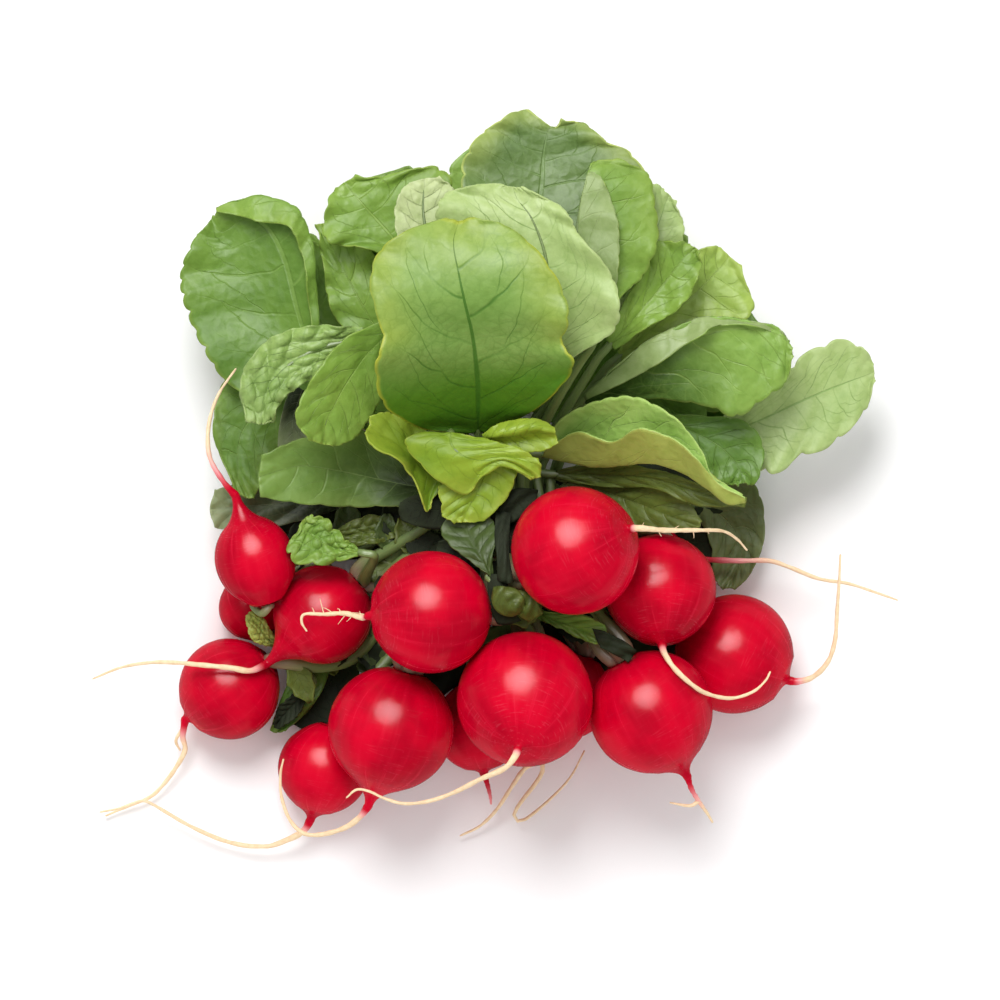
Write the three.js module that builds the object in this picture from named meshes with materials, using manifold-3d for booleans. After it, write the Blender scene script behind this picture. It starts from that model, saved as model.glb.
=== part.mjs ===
// A bunch of radishes lying on its side: radishes in front, leaves fanned out behind them,
// and one rubber band round the leaf stalks. Millimetres, +Z up, leaves toward +Y.
//
// Places are laid out on a plan grid, seen from above: x counts squares to the right and
// y counts squares toward the root side. Heights are in millimetres.
import * as THREE from "three";
import { mergeVertices } from "three/addons/utils/BufferGeometryUtils.js";
import Module from "manifold-3d";

// Driving dimensions.
const PLAN_SQUARE = 0.24;
const PLAN_CENTRE = [495.5, 480];
const GAP = 0.35;

// The tie: where it holds the stalks, and its size across them.
const TIE = {
  x: 488, y: 510, z: 22.1, halfWidth: 19, halfHeight: 14.8, ease: 0.4, thick: 1.2, wide: 5, turns: 24,
};

// Leaf stalks: how far they lie from the middle of their bundle when there are 2, 3 or 4, and
// how they leave the crown, cross a long way and meet the blade.
const STALK_RADIUS = 1.35;
const STALK_TIP_RADIUS = 1.1;
const STALK_SPREAD = [0, 0, 1.85, 2.2, 2.5];
const STALK_SIDES = 4;
const SLOT_HALF_LENGTH = 5;
const CROWN_LEAD = 2;
const BLADE_LEAD = [4.6, 1.6];
const TURN_LEAD = [[0, -1.2, -6.2], [0, 0.1, -1.4]];
const LONG_WAY = 24;
const LONG_WAY_STOPS = [0.35, 0.7];

// How the stalks are laid side by side, and the room they have near the tie.
const FUNNEL = { straight: 3, slope: 1.2, flare: 0.35, margin: 3.1, reach: 10 };
const COMB = { step: 6.4, look: 19.2, gap: 0.5, push: 0.55, rounds: 140, hardRounds: 60, ease: 0.15 };

// The leaves lie in levels, like a fan opened upward from the tie. Level 0 lies on the table.
const FAN = { lowAtTie: 12, lowAway: 1.6, lowReach: 30, stepAtTie: 2.6, stepAway: 7.8, stepReach: 60,
  droop: 0.9, droopFrom: 70, droopReach: 50 };
const BLADE_THICKNESS = 0.72;
const BLADE_CLEAR = 0.05;
const TIP_CUT = 0.97;
const EDGE_LAG = 3;
const SWEEP_SHAPE = [0.12, 0.6, 0.92, 1, 0.88, 0.3];

// Radish skins.
const RADISH_SIDES = 13;
const ROOT_SIDES = 5;
const ROOT_RADIUS = 1.15;
const ROOT_TIP_RADIUS = 0.42;
const ROOT_STEP = 7.5;
const CROWN_RADIUS = 3.8;
const CROWN_REACH = 0.97;
const NECK = { part: 0.45, radius: 0.22 };
const BRANCH_RADIUS = 0.6;

// Profile of a radish: [distance along the axis, radius], both as parts of its radius.
const RADISH_PROFILE = [[-0.8, 0.6], [-0.5, 0.87], [-0.15, 0.99], [0.2, 0.98], [0.5, 0.86],
  [0.75, 0.65], [0.92, 0.4]];

const wasm = await Module();
wasm.setup();
const { lerp, smoothstep } = THREE.MathUtils;

const GREEN = new THREE.MeshStandardMaterial({ color: 0x5f9637, roughness: 0.55, metalness: 0 });
const PALE_GREEN = new THREE.MeshStandardMaterial({ color: 0x93b45c, roughness: 0.6, metalness: 0 });
const DARK_GREEN = new THREE.MeshStandardMaterial({ color: 0x3f6e24, roughness: 0.55, metalness: 0 });
const RED = new THREE.MeshStandardMaterial({ color: 0xc8102e, roughness: 0.25, metalness: 0 });
const RUBBER = new THREE.MeshStandardMaterial({ color: 0xb98d5a, roughness: 0.6, metalness: 0 });

// ---------------------------------------------------------------- plan and fan

function planX(x) {
  return (x - PLAN_CENTRE[0]) * PLAN_SQUARE;
}

function planY(y) {
  return (PLAN_CENTRE[1] - y) * PLAN_SQUARE;
}

function place([x, y, z]) {
  return new THREE.Vector3(planX(x), planY(y), z);
}

// Height of a fan level at a place in the plan.
function fanHeight(level, x, y) {
  const away = Math.hypot(x - planX(TIE.x), y - planY(TIE.y));
  const low = lerp(FAN.lowAtTie, FAN.lowAway, smoothstep(away, 0, FAN.lowReach));
  const step = lerp(FAN.stepAtTie, FAN.stepAway, smoothstep(away, 0, FAN.stepReach));
  const droop = FAN.droop * smoothstep(away, FAN.droopFrom, FAN.droopFrom + FAN.droopReach);
  return low + level * (step - droop);
}

// A smooth value along a list of rows of numbers, at t from 0 to 1.
function along(rows, t) {
  const last = rows.length - 1;
  const place = Math.min(Math.max(t, 0), 1) * last;
  const i = Math.min(Math.floor(place), last - 1);
  const f = place - i;
  const at = (k) => rows[Math.min(Math.max(k, 0), last)];
  return rows[0].map((_, c) => {
    const p1 = at(i)[c] ?? 0;
    const p2 = at(i + 1)[c] ?? 0;
    const p0 = i > 0 ? at(i - 1)[c] ?? 0 : 2 * p1 - p2;
    const p3 = i + 2 <= last ? at(i + 2)[c] ?? 0 : 2 * p2 - p1;
    return 0.5 * (2 * p1 + (p2 - p0) * f + (2 * p0 - 5 * p1 + 4 * p2 - p3) * f * f
      + (3 * p1 - p0 - 3 * p2 + p3) * f ** 3);
  });
}

// ---------------------------------------------------------------- meshes

class Surface {
  constructor() {
    this.points = [];
    this.faces = [];
  }

  add(point) {
    this.points.push(point.x, point.y, point.z);
    return this.points.length / 3 - 1;
  }

  // Joins two rings of vertices that run the same way round.
  join(ringA, ringB) {
    let a = 0;
    let b = 0;
    while (a < ringA.length || b < ringB.length) {
      const nextA = (a + 0.5) / ringA.length;
      const nextB = (b + 0.5) / ringB.length;
      const a0 = ringA[a % ringA.length];
      const b0 = ringB[b % ringB.length];
      if (b >= ringB.length || (a < ringA.length && nextA <= nextB)) {
        this.faces.push(a0, ringA[(a + 1) % ringA.length], b0);
        a += 1;
      } else {
        this.faces.push(a0, ringB[(b + 1) % ringB.length], b0);
        b += 1;
      }
    }
  }

  // Closes a ring with a point. The ring runs counterclockwise seen from outside the end.
  close(ring, centre) {
    const middle = this.add(centre);
    ring.forEach((v, i) => this.faces.push(v, ring[(i + 1) % ring.length], middle));
  }

  geometry() {
    const geometry = new THREE.BufferGeometry();
    geometry.setAttribute("position", new THREE.Float32BufferAttribute(this.points, 3));
    geometry.setIndex(this.faces);
    return geometry;
  }
}

// Rings round a path: stations hold a centre and a radius.
function sweptRings(surface, stations, sides, firstSide) {
  const rings = [];
  let side = firstSide;
  stations.forEach(({ centre, radius }, i) => {
    const before = stations[Math.max(i - 1, 0)].centre;
    const after = stations[Math.min(i + 1, stations.length - 1)].centre;
    const ahead = after.clone().sub(before).normalize();
    side = side.clone().addScaledVector(ahead, -side.dot(ahead)).normalize();
    const up = new THREE.Vector3().crossVectors(ahead, side);
    const ring = [];
    for (let k = 0; k < sides; k += 1) {
      const angle = (2 * Math.PI * k) / sides;
      const point = centre.clone();
      point.addScaledVector(side, radius * Math.cos(angle));
      point.addScaledVector(up, radius * Math.sin(angle));
      ring.push(surface.add(point));
    }
    rings.push(ring);
  });
  return { rings, side };
}

function toManifold(geometry) {
  const merged = mergeVertices(geometry);
  return new wasm.Manifold(new wasm.Mesh({
    numProp: 3,
    vertProperties: new Float32Array(merged.attributes.position.array),
    triVerts: new Uint32Array(merged.index.array),
  }));
}

function toGeometry(solid) {
  const mesh = solid.getMesh();
  const geometry = new THREE.BufferGeometry();
  geometry.setAttribute("position", new THREE.Float32BufferAttribute(mesh.vertProperties, 3));
  geometry.setIndex(Array.from(mesh.triVerts));
  return geometry;
}

// ---------------------------------------------------------------- radishes

// Each radish: its middle on the plan and its height, its radius in squares, the way its root
// points, how far the tail cone reaches (in radii), and the route of its root from there.
// `stalks` is the way of its leaf stalks to the tie and `slot` its place in the tie, in mm
// right and up from the middle of the tie.
const RADISHES = {
  1: { at: [255, 560, 29], radius: 40, long: 1.15, points: [-0.28, 0.93, 0.2], tail: 1.5,
    root: [[224, 482, 34], [211, 460, 33], [208, 438, 32], [211, 415, 31], [220, 392, 31.5],
      [236, 369, 32.5]],
    slot: [-12.4, 2.7], stalks: [[288, 590, 11], [335, 567, 11], [395, 540, 15]] },
  2: { at: [322, 615, 20], radius: 50, long: 1, points: [-0.75, -0.66, 0.03], tail: 1.5,
    root: [[250, 671, 24], [230, 668, 25.5], [200, 665, 25.3], [175, 663, 22], [150, 663, 19],
      [120, 668, 14], [90, 680, 9]],
    slot: [-6.2, 8.1], stalks: [[385, 570, 27]] },
  3: { at: [431, 612, 44.5], radius: 61, long: 1, points: [-0.97, -0.05, 0.2], tail: 1.03,
    root: [[362, 617, 44.5], [345, 613, 41.5], [325, 614, 38], [305, 614, 36], [302, 622, 35.5],
      [307, 631, 35]],
    slot: [0, 8.1], stalks: [[497, 580, 37]] },
  4: { at: [575, 550, 50], radius: 64, long: 1, points: [0.83, 0.33, 0.45], tail: 1.03,
    root: [[640, 528, 59], [665, 530, 56], [700, 530, 52], [722, 531, 49], [736, 539, 47], [746, 550, 45]],
    slot: [6.2, 8.1], stalks: [[511, 566, 38.5], [509, 545, 35.5]] },
  5: { at: [660, 590, 31.6], radius: 56, long: 1, points: [0.03, -0.93, 0.36], tail: 1.05,
    root: [[664, 653, 40.5], [674, 668, 42], [690, 683, 42], [706, 693, 39], [730, 698, 35],
      [752, 692, 33], [765, 681, 32], [770, 672, 31.5]],
    slot: [12.4, 2.7], stalks: [[638, 530, 28], [612, 548, 27], [583, 560, 26]] },
  6: { at: [735, 655, 14.05], radius: 60, long: 1, points: [0.9, -0.43, 0.05], tail: 1.02,
    root: [[800, 682, 15], [815, 677, 16], [829, 662, 18], [836, 640, 19], [838, 610, 20], [840, 580, 21],
      [841, 555, 22]],
    slot: [3.1, -2.7], stalks: [[636, 615, 9], [575, 580, 12]] },
  7: { at: [651, 712, 30.8], radius: 62, long: 1, points: [0.49, -0.87, -0.1], tail: 1.2,
    root: [[692, 790, 28], [700, 803, 26], [707, 813, 24], [713, 823, 22]],
    branch: [[699, 801, 26.3], [690, 806, 26], [670, 803, 25]],
    slot: [6.2, 2.7], stalks: [[583, 608, 25]] },
  8: { at: [525, 699, 40.4], radius: 68, long: 1, points: [-0.1, -0.69, 0.71], tail: 1.03,
    root: [[514, 756, 55], [504, 767, 54], [480, 778, 50], [455, 791, 45], [430, 800, 42],
      [405, 803, 38.5], [385, 798, 37.5], [370, 791, 37.5], [357, 789, 37.5], [347, 797, 36]],
    slot: [0, 2.7], stalks: [[525, 600, 25]] },
  9: { at: [391, 729, 29.8], radius: 63, long: 1, points: [-0.28, -0.95, -0.12], tail: 1.28,
    root: [[360, 817, 26.5], [345, 828, 25], [322, 835, 22], [303, 834, 20.5], [289, 820, 20],
      [281, 797, 21],
      [280, 775, 22.5], [283, 760, 24]],
    slot: [-6.2, 2.7], stalks: [[434, 625, 24]] },
  10: { at: [323, 770, 10.7], radius: 46, long: 1, points: [-0.25, -0.96, -0.1], tail: 1.15,
    root: [[303, 832, 8], [288, 841, 6], [262, 849, 4.5], [226, 844, 4], [188, 828, 4.4], [150, 806, 5.2],
      [138, 803, 5.2], [118, 810, 4.5], [98, 814, 4]],
    slot: [-3.1, -2.7], stalks: [[352, 685, 9], [450, 610, 12]] },
  11: { at: [228, 690, 11.8], radius: 51, long: 1, points: [-0.8, -0.55, -0.2], tail: 1.08,
    root: [[181, 738, 7], [183, 752, 5.5], [172, 772, 4], [158, 790, 3], [146, 800, 2.3], [124, 809, 1.7],
      [103, 818, 1.3]],
    branch: [[181, 730, 7.6], [174, 742, 6], [178, 752, 4.5]],
    slot: [-9.3, -2.7], stalks: [[300, 672, 12], [342, 668, 12], [400, 612, 16]] },
  12: { at: [250, 608, 7.7], radius: 33, long: 1, points: [-0.55, 0.83, -0.05], tail: 1.1,
    root: [[229, 568, 6.5], [235, 550, 5], [246, 525, 4], [254, 508, 3]],
    slot: [-6.2, -8.1], stalks: [[308, 645, 5], [358, 625, 8]] },
  13: { at: [478, 728, 10.4], radius: 45, long: 1, points: [0.12, -0.98, -0.05], tail: 1.05,
    root: [[487, 785, 9], [490, 797, 8], [491, 806, 7]],
    slot: [0, -8.1], stalks: [[487, 605, 9]] },
  14: { at: [567, 696, 10.25], radius: 45, long: 1, points: [-0.35, -0.93, -0.05], tail: 1.05,
    root: [[540, 760, 9], [525, 770, 8.5], [512, 788, 7], [497, 811, 5], [480, 828, 3.5], [460, 838, 2.5]],
    branch: [[541, 758, 9], [543, 772, 8], [535, 786, 7], [521, 804, 6], [514, 817, 5], [522, 823, 4.6],
      [546, 805, 5], [570, 780, 6], [585, 752, 7]],
    slot: [6.2, -8.1], stalks: [[550, 600, 10]] },
  15: { at: [648, 562, 9.2], radius: 40, long: 1, points: [1, 0.03, 0.1], tail: 1.1,
    root: [[705, 560, 11.5], [740, 561, 13.5], [770, 561, 14], [792, 568, 13], [820, 579, 11],
      [850, 584, 9],
      [875, 592, 7], [901, 601, 5]],
    slot: [9.3, -2.7], stalks: [[590, 560, 11.5], [561, 560, 14]] },
};

function radishFrame(spec) {
  const centre = place(spec.at);
  const radius = spec.radius * PLAN_SQUARE;
  const axis = new THREE.Vector3(...spec.points).normalize();
  const crown = centre.clone().addScaledVector(axis, -CROWN_REACH * radius * spec.long);
  return { centre, radius, axis, crown };
}

// Stations along a root, from the tail of the radish to the tip.
function rootStations(points, startRadius) {
  const curve = new THREE.CatmullRomCurve3(points, false, "centripetal");
  const count = Math.max(3, Math.round(curve.getLength() / ROOT_STEP));
  return curve.getSpacedPoints(count).map((centre, i) => (
    { centre, radius: lerp(startRadius, ROOT_TIP_RADIUS, Math.sqrt(i / count)) }));
}

function sweptTube(stations, sides) {
  const surface = new Surface();
  const { rings } = sweptRings(surface, stations, sides, new THREE.Vector3(0.1, 0.2, 1));
  for (let i = 1; i < rings.length; i += 1) {
    surface.join(rings[i - 1], rings[i]);
  }
  surface.close([...rings[0]].reverse(), stations[0].centre);
  surface.close(rings.at(-1), stations.at(-1).centre);
  return surface.geometry();
}

// The part of space below the table.
function belowTable() {
  const slab = new THREE.BoxGeometry(400, 400, 20);
  slab.translate(0, 0, -10);
  slab.deleteAttribute("normal");
  slab.deleteAttribute("uv");
  return toManifold(slab);
}

function radishGeometry(spec) {
  const { centre, radius, axis, crown } = radishFrame(spec);
  const surface = new Surface();
  const body = [{ centre: crown, radius: CROWN_RADIUS }];
  RADISH_PROFILE.forEach(([s, r]) => {
    body.push({ centre: centre.clone().addScaledVector(axis, s * radius * spec.long), radius: r * radius });
  });
  const tail = centre.clone().addScaledVector(axis, spec.tail * radius * spec.long);
  const neck = lerp(RADISH_PROFILE.at(-1)[0], spec.tail, NECK.part) * radius * spec.long;
  body.push({ centre: centre.clone().addScaledVector(axis, neck), radius: NECK.radius * radius });
  const skin = sweptRings(surface, body, RADISH_SIDES, new THREE.Vector3(0.1, 0.2, 1));
  for (let i = 1; i < skin.rings.length; i += 1) {
    surface.join(skin.rings[i - 1], skin.rings[i]);
  }
  const root = rootStations([tail, ...spec.root.map(place)], ROOT_RADIUS);
  const thin = sweptRings(surface, root, ROOT_SIDES, skin.side);
  surface.join(skin.rings.at(-1), thin.rings[0]);
  for (let i = 1; i < thin.rings.length; i += 1) {
    surface.join(thin.rings[i - 1], thin.rings[i]);
  }
  surface.close([...skin.rings[0]].reverse(), crown);
  surface.close(thin.rings.at(-1), root.at(-1).centre);
  let solid = toManifold(surface.geometry());
  if (spec.branch) {
    const branch = sweptTube(rootStations(spec.branch.map(place), BRANCH_RADIUS), ROOT_SIDES);
    solid = solid.add(toManifold(branch));
  }
  return toGeometry(solid.subtract(belowTable()));
}

// ---------------------------------------------------------------- leaves

// Each leaf: its radish, its level in the fan, and the curves of its blade from left edge to
// right edge, each from the stalk end to the tip. A curve point is [x, y] on the plan, with an
// optional height in mm above the fan level. `over` marks a leaf whose heights are from the
// table instead. The stalk of a `direct` one stays out of the tie and passes the points in
// `via`. `wave` is the height of its waved edge in mm, and `waves` their number.
const LEAVES = [
  // Small leaf over the tie, between the two upper radishes.
  { of: 3, over: true, look: "dark", rows: 5, across: 4, wave: 0.4, waves: 2, direct: true, curves: [
    [[496, 582, 45.5], [485, 573, 46.6], [469, 560, 46], [451, 547, 44], [441, 532, 41.5],
      [450, 512, 40.4]],
    [[493, 584, 45.5], [487, 568, 46.6], [477, 550, 45.4], [470, 536, 42.8], [466, 524, 41],
      [464, 510, 40.4]],
    [[490, 586, 45.5], [492, 562, 46.8], [496, 542, 45.6], [496, 528, 43], [490, 516, 41.4],
      [478, 508, 40.4]]] },
  // Broad pale leaf on top of all, rising from its cupped base.
  { of: 3, level: 9, look: "pale", rows: 10, across: 6, wave: 1.0, waves: 5, curves: [
    [[474, 433, 0], [422, 428, 2], [384, 405, 10], [376, 368, 15], [383, 339, 13], [371, 291, 9],
      [379, 256, 6],
      [407, 234, 4], [452, 221, 0]],
    [[478, 431, 0], [478, 412, 4], [478, 388, 8], [476, 362, 9], [472, 333, 8], [465, 304, 8],
      [459, 275, 6],
      [454, 246, 4], [460, 221, 0]],
    [[484, 433, 0], [532, 411, 5], [564, 384, 10], [574, 362, 10], [562, 343, 10], [569, 321, 10],
      [561, 289, 8],
      [536, 252, 5], [500, 226, 2], [468, 221, 0]]] },
  // Young leaves flopped forward over the tie.
  { of: 3, over: true, look: "pale", rows: 9, across: 5, wave: 0.5, waves: 4, turn: true, curves: [
    [[458, 434, 48.5], [484, 439, 49.5], [508, 445, 49.8], [529, 453, 49.6], [541, 465, 49],
      [539, 479, 48.4]],
    [[451, 433, 49], [452, 445, 50.5], [463, 456, 50.5], [484, 461, 50], [508, 461, 50.2],
      [536, 480, 48.4]],
    [[444, 434, 48.5], [420, 433, 49.5], [405, 441, 49.8], [414, 457, 49.4], [437, 480, 47.8],
      [466, 494, 46.6],
      [483, 477, 48.2], [501, 467, 49], [518, 472, 49], [533, 481, 48.4]]] },
  { of: 3, over: true, look: "pale", rows: 8, across: 4, wave: 0.4, waves: 3, curves: [
    [[452, 476, 41], [436, 497, 42], [428, 512, 42.6], [419, 496, 44.6], [411, 475, 47.4], [397, 461, 50.2],
      [373, 447, 53], [364, 432, 53]],
    [[455, 472, 40], [432, 474, 41], [418, 464, 43], [406, 452, 44.4], [390, 440, 46.4], [367, 426, 49]],
    [[457, 466, 41], [443, 446, 41.5], [422, 428, 43], [402, 417, 45], [385, 412, 47], [369, 417, 48]]] },
  // Pale broad leaf behind the top one.
  { of: 4, level: 8, look: "pale", rows: 10, across: 6, wave: 1.0, waves: 5, curves: [
    [[516, 400], [480, 345], [448, 290, 1], [436, 240, 2], [440, 203, 2], [466, 189, 1], [505, 187]],
    [[520, 400], [538, 345], [546, 295], [545, 258, 1], [532, 222, 1], [518, 203], [512, 188]],
    [[526, 398], [574, 358, 2], [613, 333, 3], [619, 303, 4], [607, 270, 4], [579, 238, 4], [570, 220, 3],
      [551, 203, 2], [519, 188]]] },
  { of: 4, over: true, look: "pale", rows: 6, across: 4, wave: 0.4, waves: 3, turn: true, curves: [
    [[503, 452, 45], [516, 466, 45.5], [515, 481, 45], [507, 498, 44.4], [491, 515, 43.8],
      [474, 523, 43.4]],
    [[497, 451, 45.5], [490, 464, 45.5], [482, 481, 45], [475, 497, 44.4], [467, 511, 43.8],
      [463, 523, 43.4]],
    [[491, 453, 45], [462, 474, 45], [439, 486, 44.5], [441, 503, 44.2], [443, 517, 43.8],
      [455, 522, 43.4]]] },
  { of: 4, over: true, look: "pale", rows: 6, across: 6, wave: 0.3, waves: 2, turn: true, curves: [
    [[482, 435, 47.2], [497, 425, 48.6], [516, 420, 49.2], [538, 420, 49], [555, 429, 48.4]],
    [[484, 438, 47.2], [500, 434, 50], [517, 431, 50.6], [538, 429, 50.2], [556, 432, 48.6]],
    [[486, 441, 46.2], [502, 441, 46.6], [520, 440, 46.6], [541, 437, 46.8], [557, 436, 47.8]],
    [[488, 446, 45.8], [503, 451, 46.4], [522, 453, 46.8], [544, 451, 47], [559, 443, 47.6]]] },
  // Leaf folded back over itself above the upper right radish.
  { of: 4, level: 7.3, look: "pale", rows: 9, across: 8, wave: 0.8, waves: 4, curves: [
    [[541, 444, 2], [565, 415, 3], [600, 400, 3], [634, 397, 3], [670, 414, 2], [698, 447, 1],
      [713, 476], [744, 497, 2]],
    [[541, 450, 1], [575, 438], [605, 430], [640, 430], [672, 443], [698, 463], [716, 482], [744, 499, 2]],
    [[542, 456, 2], [572, 464, 2], [602, 468, 2], [640, 464, 2], [672, 470, 2], [700, 485, 2],
      [722, 503, 2],
      [746, 503, 2.5]],
    [[544, 451, 4], [576, 433, 7], [611, 443, 8], [636, 429, 9], [664, 436, 8], [692, 456, 7],
      [718, 486, 5],
      [746, 500, 3.5]]] },
  { of: 7, level: 6.5, look: "pale", rows: 6, across: 4, wave: 0.6, waves: 3, curves: [
    [[556, 470], [600, 463], [650, 468], [700, 484], [748, 500]],
    [[556, 474], [602, 475], [650, 478], [700, 493], [748, 503]],
    [[556, 478], [602, 487], [650, 488], [696, 505], [746, 507]]] },
  { of: 5, level: 5.9, look: "plain", rows: 6, across: 4, wave: 0.5, waves: 2, curves: [
    [[570, 477], [615, 482], [652, 485], [688, 502], [701, 524]],
    [[568, 480], [612, 494], [645, 506], [672, 517], [701, 527]],
    [[566, 484], [602, 508], [635, 527], [668, 531], [699, 529]]] },
  // Right-hand leaves.
  { of: 5, level: 5.4, look: "plain", rows: 9, across: 8, wave: 0.9, waves: 4, curves: [
    [[586, 400, 3], [626, 382, 5], [662, 361, 6], [692, 340, 6], [718, 326, 5], [754, 327, 3], [788, 343]],
    [[584, 396, 3], [617, 362, 3], [662, 332, 3], [703, 317, 3], [742, 319, 2], [776, 327, 1], [791, 348]],
    [[585, 402], [640, 380], [700, 362, -1], [745, 352], [770, 350], [782, 350], [792, 351]],
    [[588, 408], [650, 399, -2], [705, 406, -3], [735, 417, -3], [766, 398, -2], [786, 380, -1],
      [792, 355]]] },
  { of: 5, level: 3.7, look: "plain", rows: 7, across: 4, wave: 0.8, waves: 3, curves: [
    [[668, 414], [715, 416], [750, 424], [764, 450], [758, 480], [746, 484]],
    [[667, 419], [698, 434], [722, 448], [737, 465], [742, 477], [742, 484]],
    [[665, 424], [690, 452], [702, 472], [716, 483], [728, 485], [738, 485]]] },
  { of: 15, level: 3, look: "pale", rows: 9, across: 6, wave: 0.8, waves: 5, curves: [
    [[697, 437], [740, 404, 2], [778, 378, 2], [802, 355, 2], [835, 339, 1], [862, 346, 1], [875, 366]],
    [[698, 441], [750, 424], [795, 404], [825, 391], [848, 382], [864, 376], [876, 371]],
    [[700, 446], [735, 464, 1], [768, 476, 1], [800, 459, 1], [836, 443, 1], [866, 410], [876, 378]]] },
  { of: 14, level: 1.7, sweep: { angle: 25, from: 32, to: 66, half: 10 }, look: "dark", rows: 6, across: 4,
    wave: 0.5, waves: 4 },
  { of: 14, level: 0, sweep: { angle: 63, from: 26, to: 88, half: 18 }, look: "dark", rows: 6, across: 4,
    wave: 0.5, waves: 4 },
  { of: 14, level: 0.8, look: "dark", rows: 7, across: 4, wave: 0.5, waves: 2, curves: [
    [[690, 489], [745, 478, 1], [764, 502, 1], [765, 545, 1], [750, 577, 1], [734, 590]],
    [[688, 492], [718, 512], [735, 530], [742, 552], [737, 572], [729, 590]],
    [[684, 495], [702, 522], [712, 548], [713, 570], [718, 584], [724, 590]]] },
  // Upper right leaves.
  { of: 7, level: 7, look: "pale", rows: 8, across: 6, wave: 0.7, waves: 4, curves: [
    [[594, 326, 3], [613, 297, 4], [618, 262, 5], [618, 232, 5], [612, 205, 4], [602, 182, 3],
      [597, 166, 1]],
    [[590, 326, 2], [585, 290, 2], [578, 248, 3], [580, 212, 3], [585, 188, 3], [590, 170, 2],
      [596, 163, 1]],
    [[596, 322], [622, 296, -1], [644, 275, -1], [657, 242], [654, 204], [645, 174], [615, 161]]] },
  { of: 7, level: 6.1, look: "plain", rows: 7, across: 6, wave: 1.0, waves: 4, curves: [
    [[606, 340], [624, 302, 1], [646, 266, 1], [652, 245, 1], [672, 242, 1], [690, 247]],
    [[610, 345], [638, 314], [660, 288, -1], [676, 268], [686, 256], [695, 248]],
    [[614, 350], [648, 328, 1], [676, 312, 1], [693, 290, 1], [700, 266], [699, 252]]] },
  { of: 7, level: 4.7, look: "plain", rows: 8, across: 6, wave: 0.8, waves: 4, curves: [
    [[618, 352], [645, 305, 1], [678, 268, 1], [703, 248, 1], [722, 248]],
    [[620, 356], [660, 322], [696, 293, -1], [718, 270], [730, 256]],
    [[624, 362], [672, 346, 1], [718, 332, 1], [752, 312, 1], [740, 264]]] },
  { of: 8, over: true, look: "dark", rows: 5, across: 4, wave: 0.4, waves: 2, direct: true, curves: [
    [[533, 607, 34], [556, 612, 36], [585, 616, 38], [604, 624, 39], [609, 640, 39]],
    [[532, 610, 33.5], [552, 619, 35.5], [572, 626, 37], [590, 634, 38], [607, 644, 39]],
    [[531, 613, 34], [548, 624, 35.5], [568, 632, 37], [588, 642, 38], [603, 646, 39]]] },
  { of: 8, level: 5.5, look: "plain", rows: 7, across: 4, wave: 0.6, waves: 3, curves: [
    [[600, 318], [616, 265], [632, 215], [648, 186, 1], [664, 192]],
    [[604, 322], [636, 270], [656, 230], [664, 206], [669, 195]],
    [[610, 326], [656, 290], [681, 246], [682, 222], [674, 202]]] },
  // Top leaf, notched at its tip.
  { of: 8, level: 6, look: "dark", rows: 9, across: 6, wave: 1.0, waves: 4, curves: [
    [[512, 292], [478, 240, 1], [461, 190, 2], [465, 156, 2], [483, 134, 1], [505, 118, 1], [530, 109]],
    [[520, 296], [534, 235], [541, 190, -1], [543, 160, -1], [546, 140], [549, 130], [552, 128]],
    [[528, 294], [604, 252, 1], [652, 205, 1], [636, 160, 1], [604, 140, 1], [580, 124], [560, 121]]] },
  // Left-hand leaves.
  { of: 9, level: 3.4, look: "plain", rows: 10, across: 8, wave: 0.9, waves: 5, curves: [
    [[258, 402], [224, 380, 1], [199, 342, 1], [183, 302, 1], [180, 272, 1], [193, 240, 1], [206, 225],
      [215, 214]],
    [[298, 400], [284, 352], [262, 305, -1], [243, 268, -1], [230, 243, -1], [221, 228], [216, 213]],
    [[322, 392, 2], [321, 345, 5], [316, 296, 6], [311, 245, 6], [296, 210, 6], [262, 196, 5],
      [236, 199, 4],
      [214, 208, 2]],
    [[318, 392, 4], [314, 345, 7], [309, 300, 8], [304, 260, 9], [290, 228, 9], [262, 222, 8],
      [238, 216, 6],
      [214, 211, 3]]] },
  { of: 9, level: 5.2, look: "plain", rows: 8, across: 6, wave: 1.0, waves: 4, curves: [
    [[432, 300], [388, 258, 1], [348, 248, 1], [325, 240, 1], [326, 210, 1], [338, 187]],
    [[437, 296], [406, 254, -1], [382, 226, -1], [364, 206], [352, 192], [345, 182]],
    [[444, 292], [456, 238, 1], [456, 188, 1], [432, 166, 1], [392, 176, 1], [354, 177]]] },
  { of: 9, level: 4.1, look: "dark", rows: 8, across: 6, wave: 1.2, waves: 5, curves: [
    [[402, 372], [358, 342], [332, 312], [325, 280], [320, 245], [316, 222]],
    [[407, 368], [376, 328], [358, 297], [344, 270], [332, 246], [321, 222]],
    [[413, 362], [408, 310], [390, 270], [366, 246], [344, 230], [327, 221]]] },
  { of: 9, level: 7.6, look: "pale", rows: 7, across: 4, wave: 0.5, waves: 3, curves: [
    [[448, 318], [405, 258], [395, 222, 1], [399, 198, 1], [412, 184]],
    [[453, 316], [432, 255], [424, 218], [424, 196], [426, 180]],
    [[460, 314], [462, 255], [459, 215], [453, 190], [440, 180]]] },
  { of: 10, level: 3.2, sweep: { angle: 106, from: 28, to: 82, half: 18 }, look: "dark", rows: 6, across: 4,
    wave: 0.8, waves: 4 },
  { of: 10, level: 2.2, sweep: { angle: 130, from: 25, to: 82, half: 17 }, look: "dark", rows: 6, across: 4,
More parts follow.
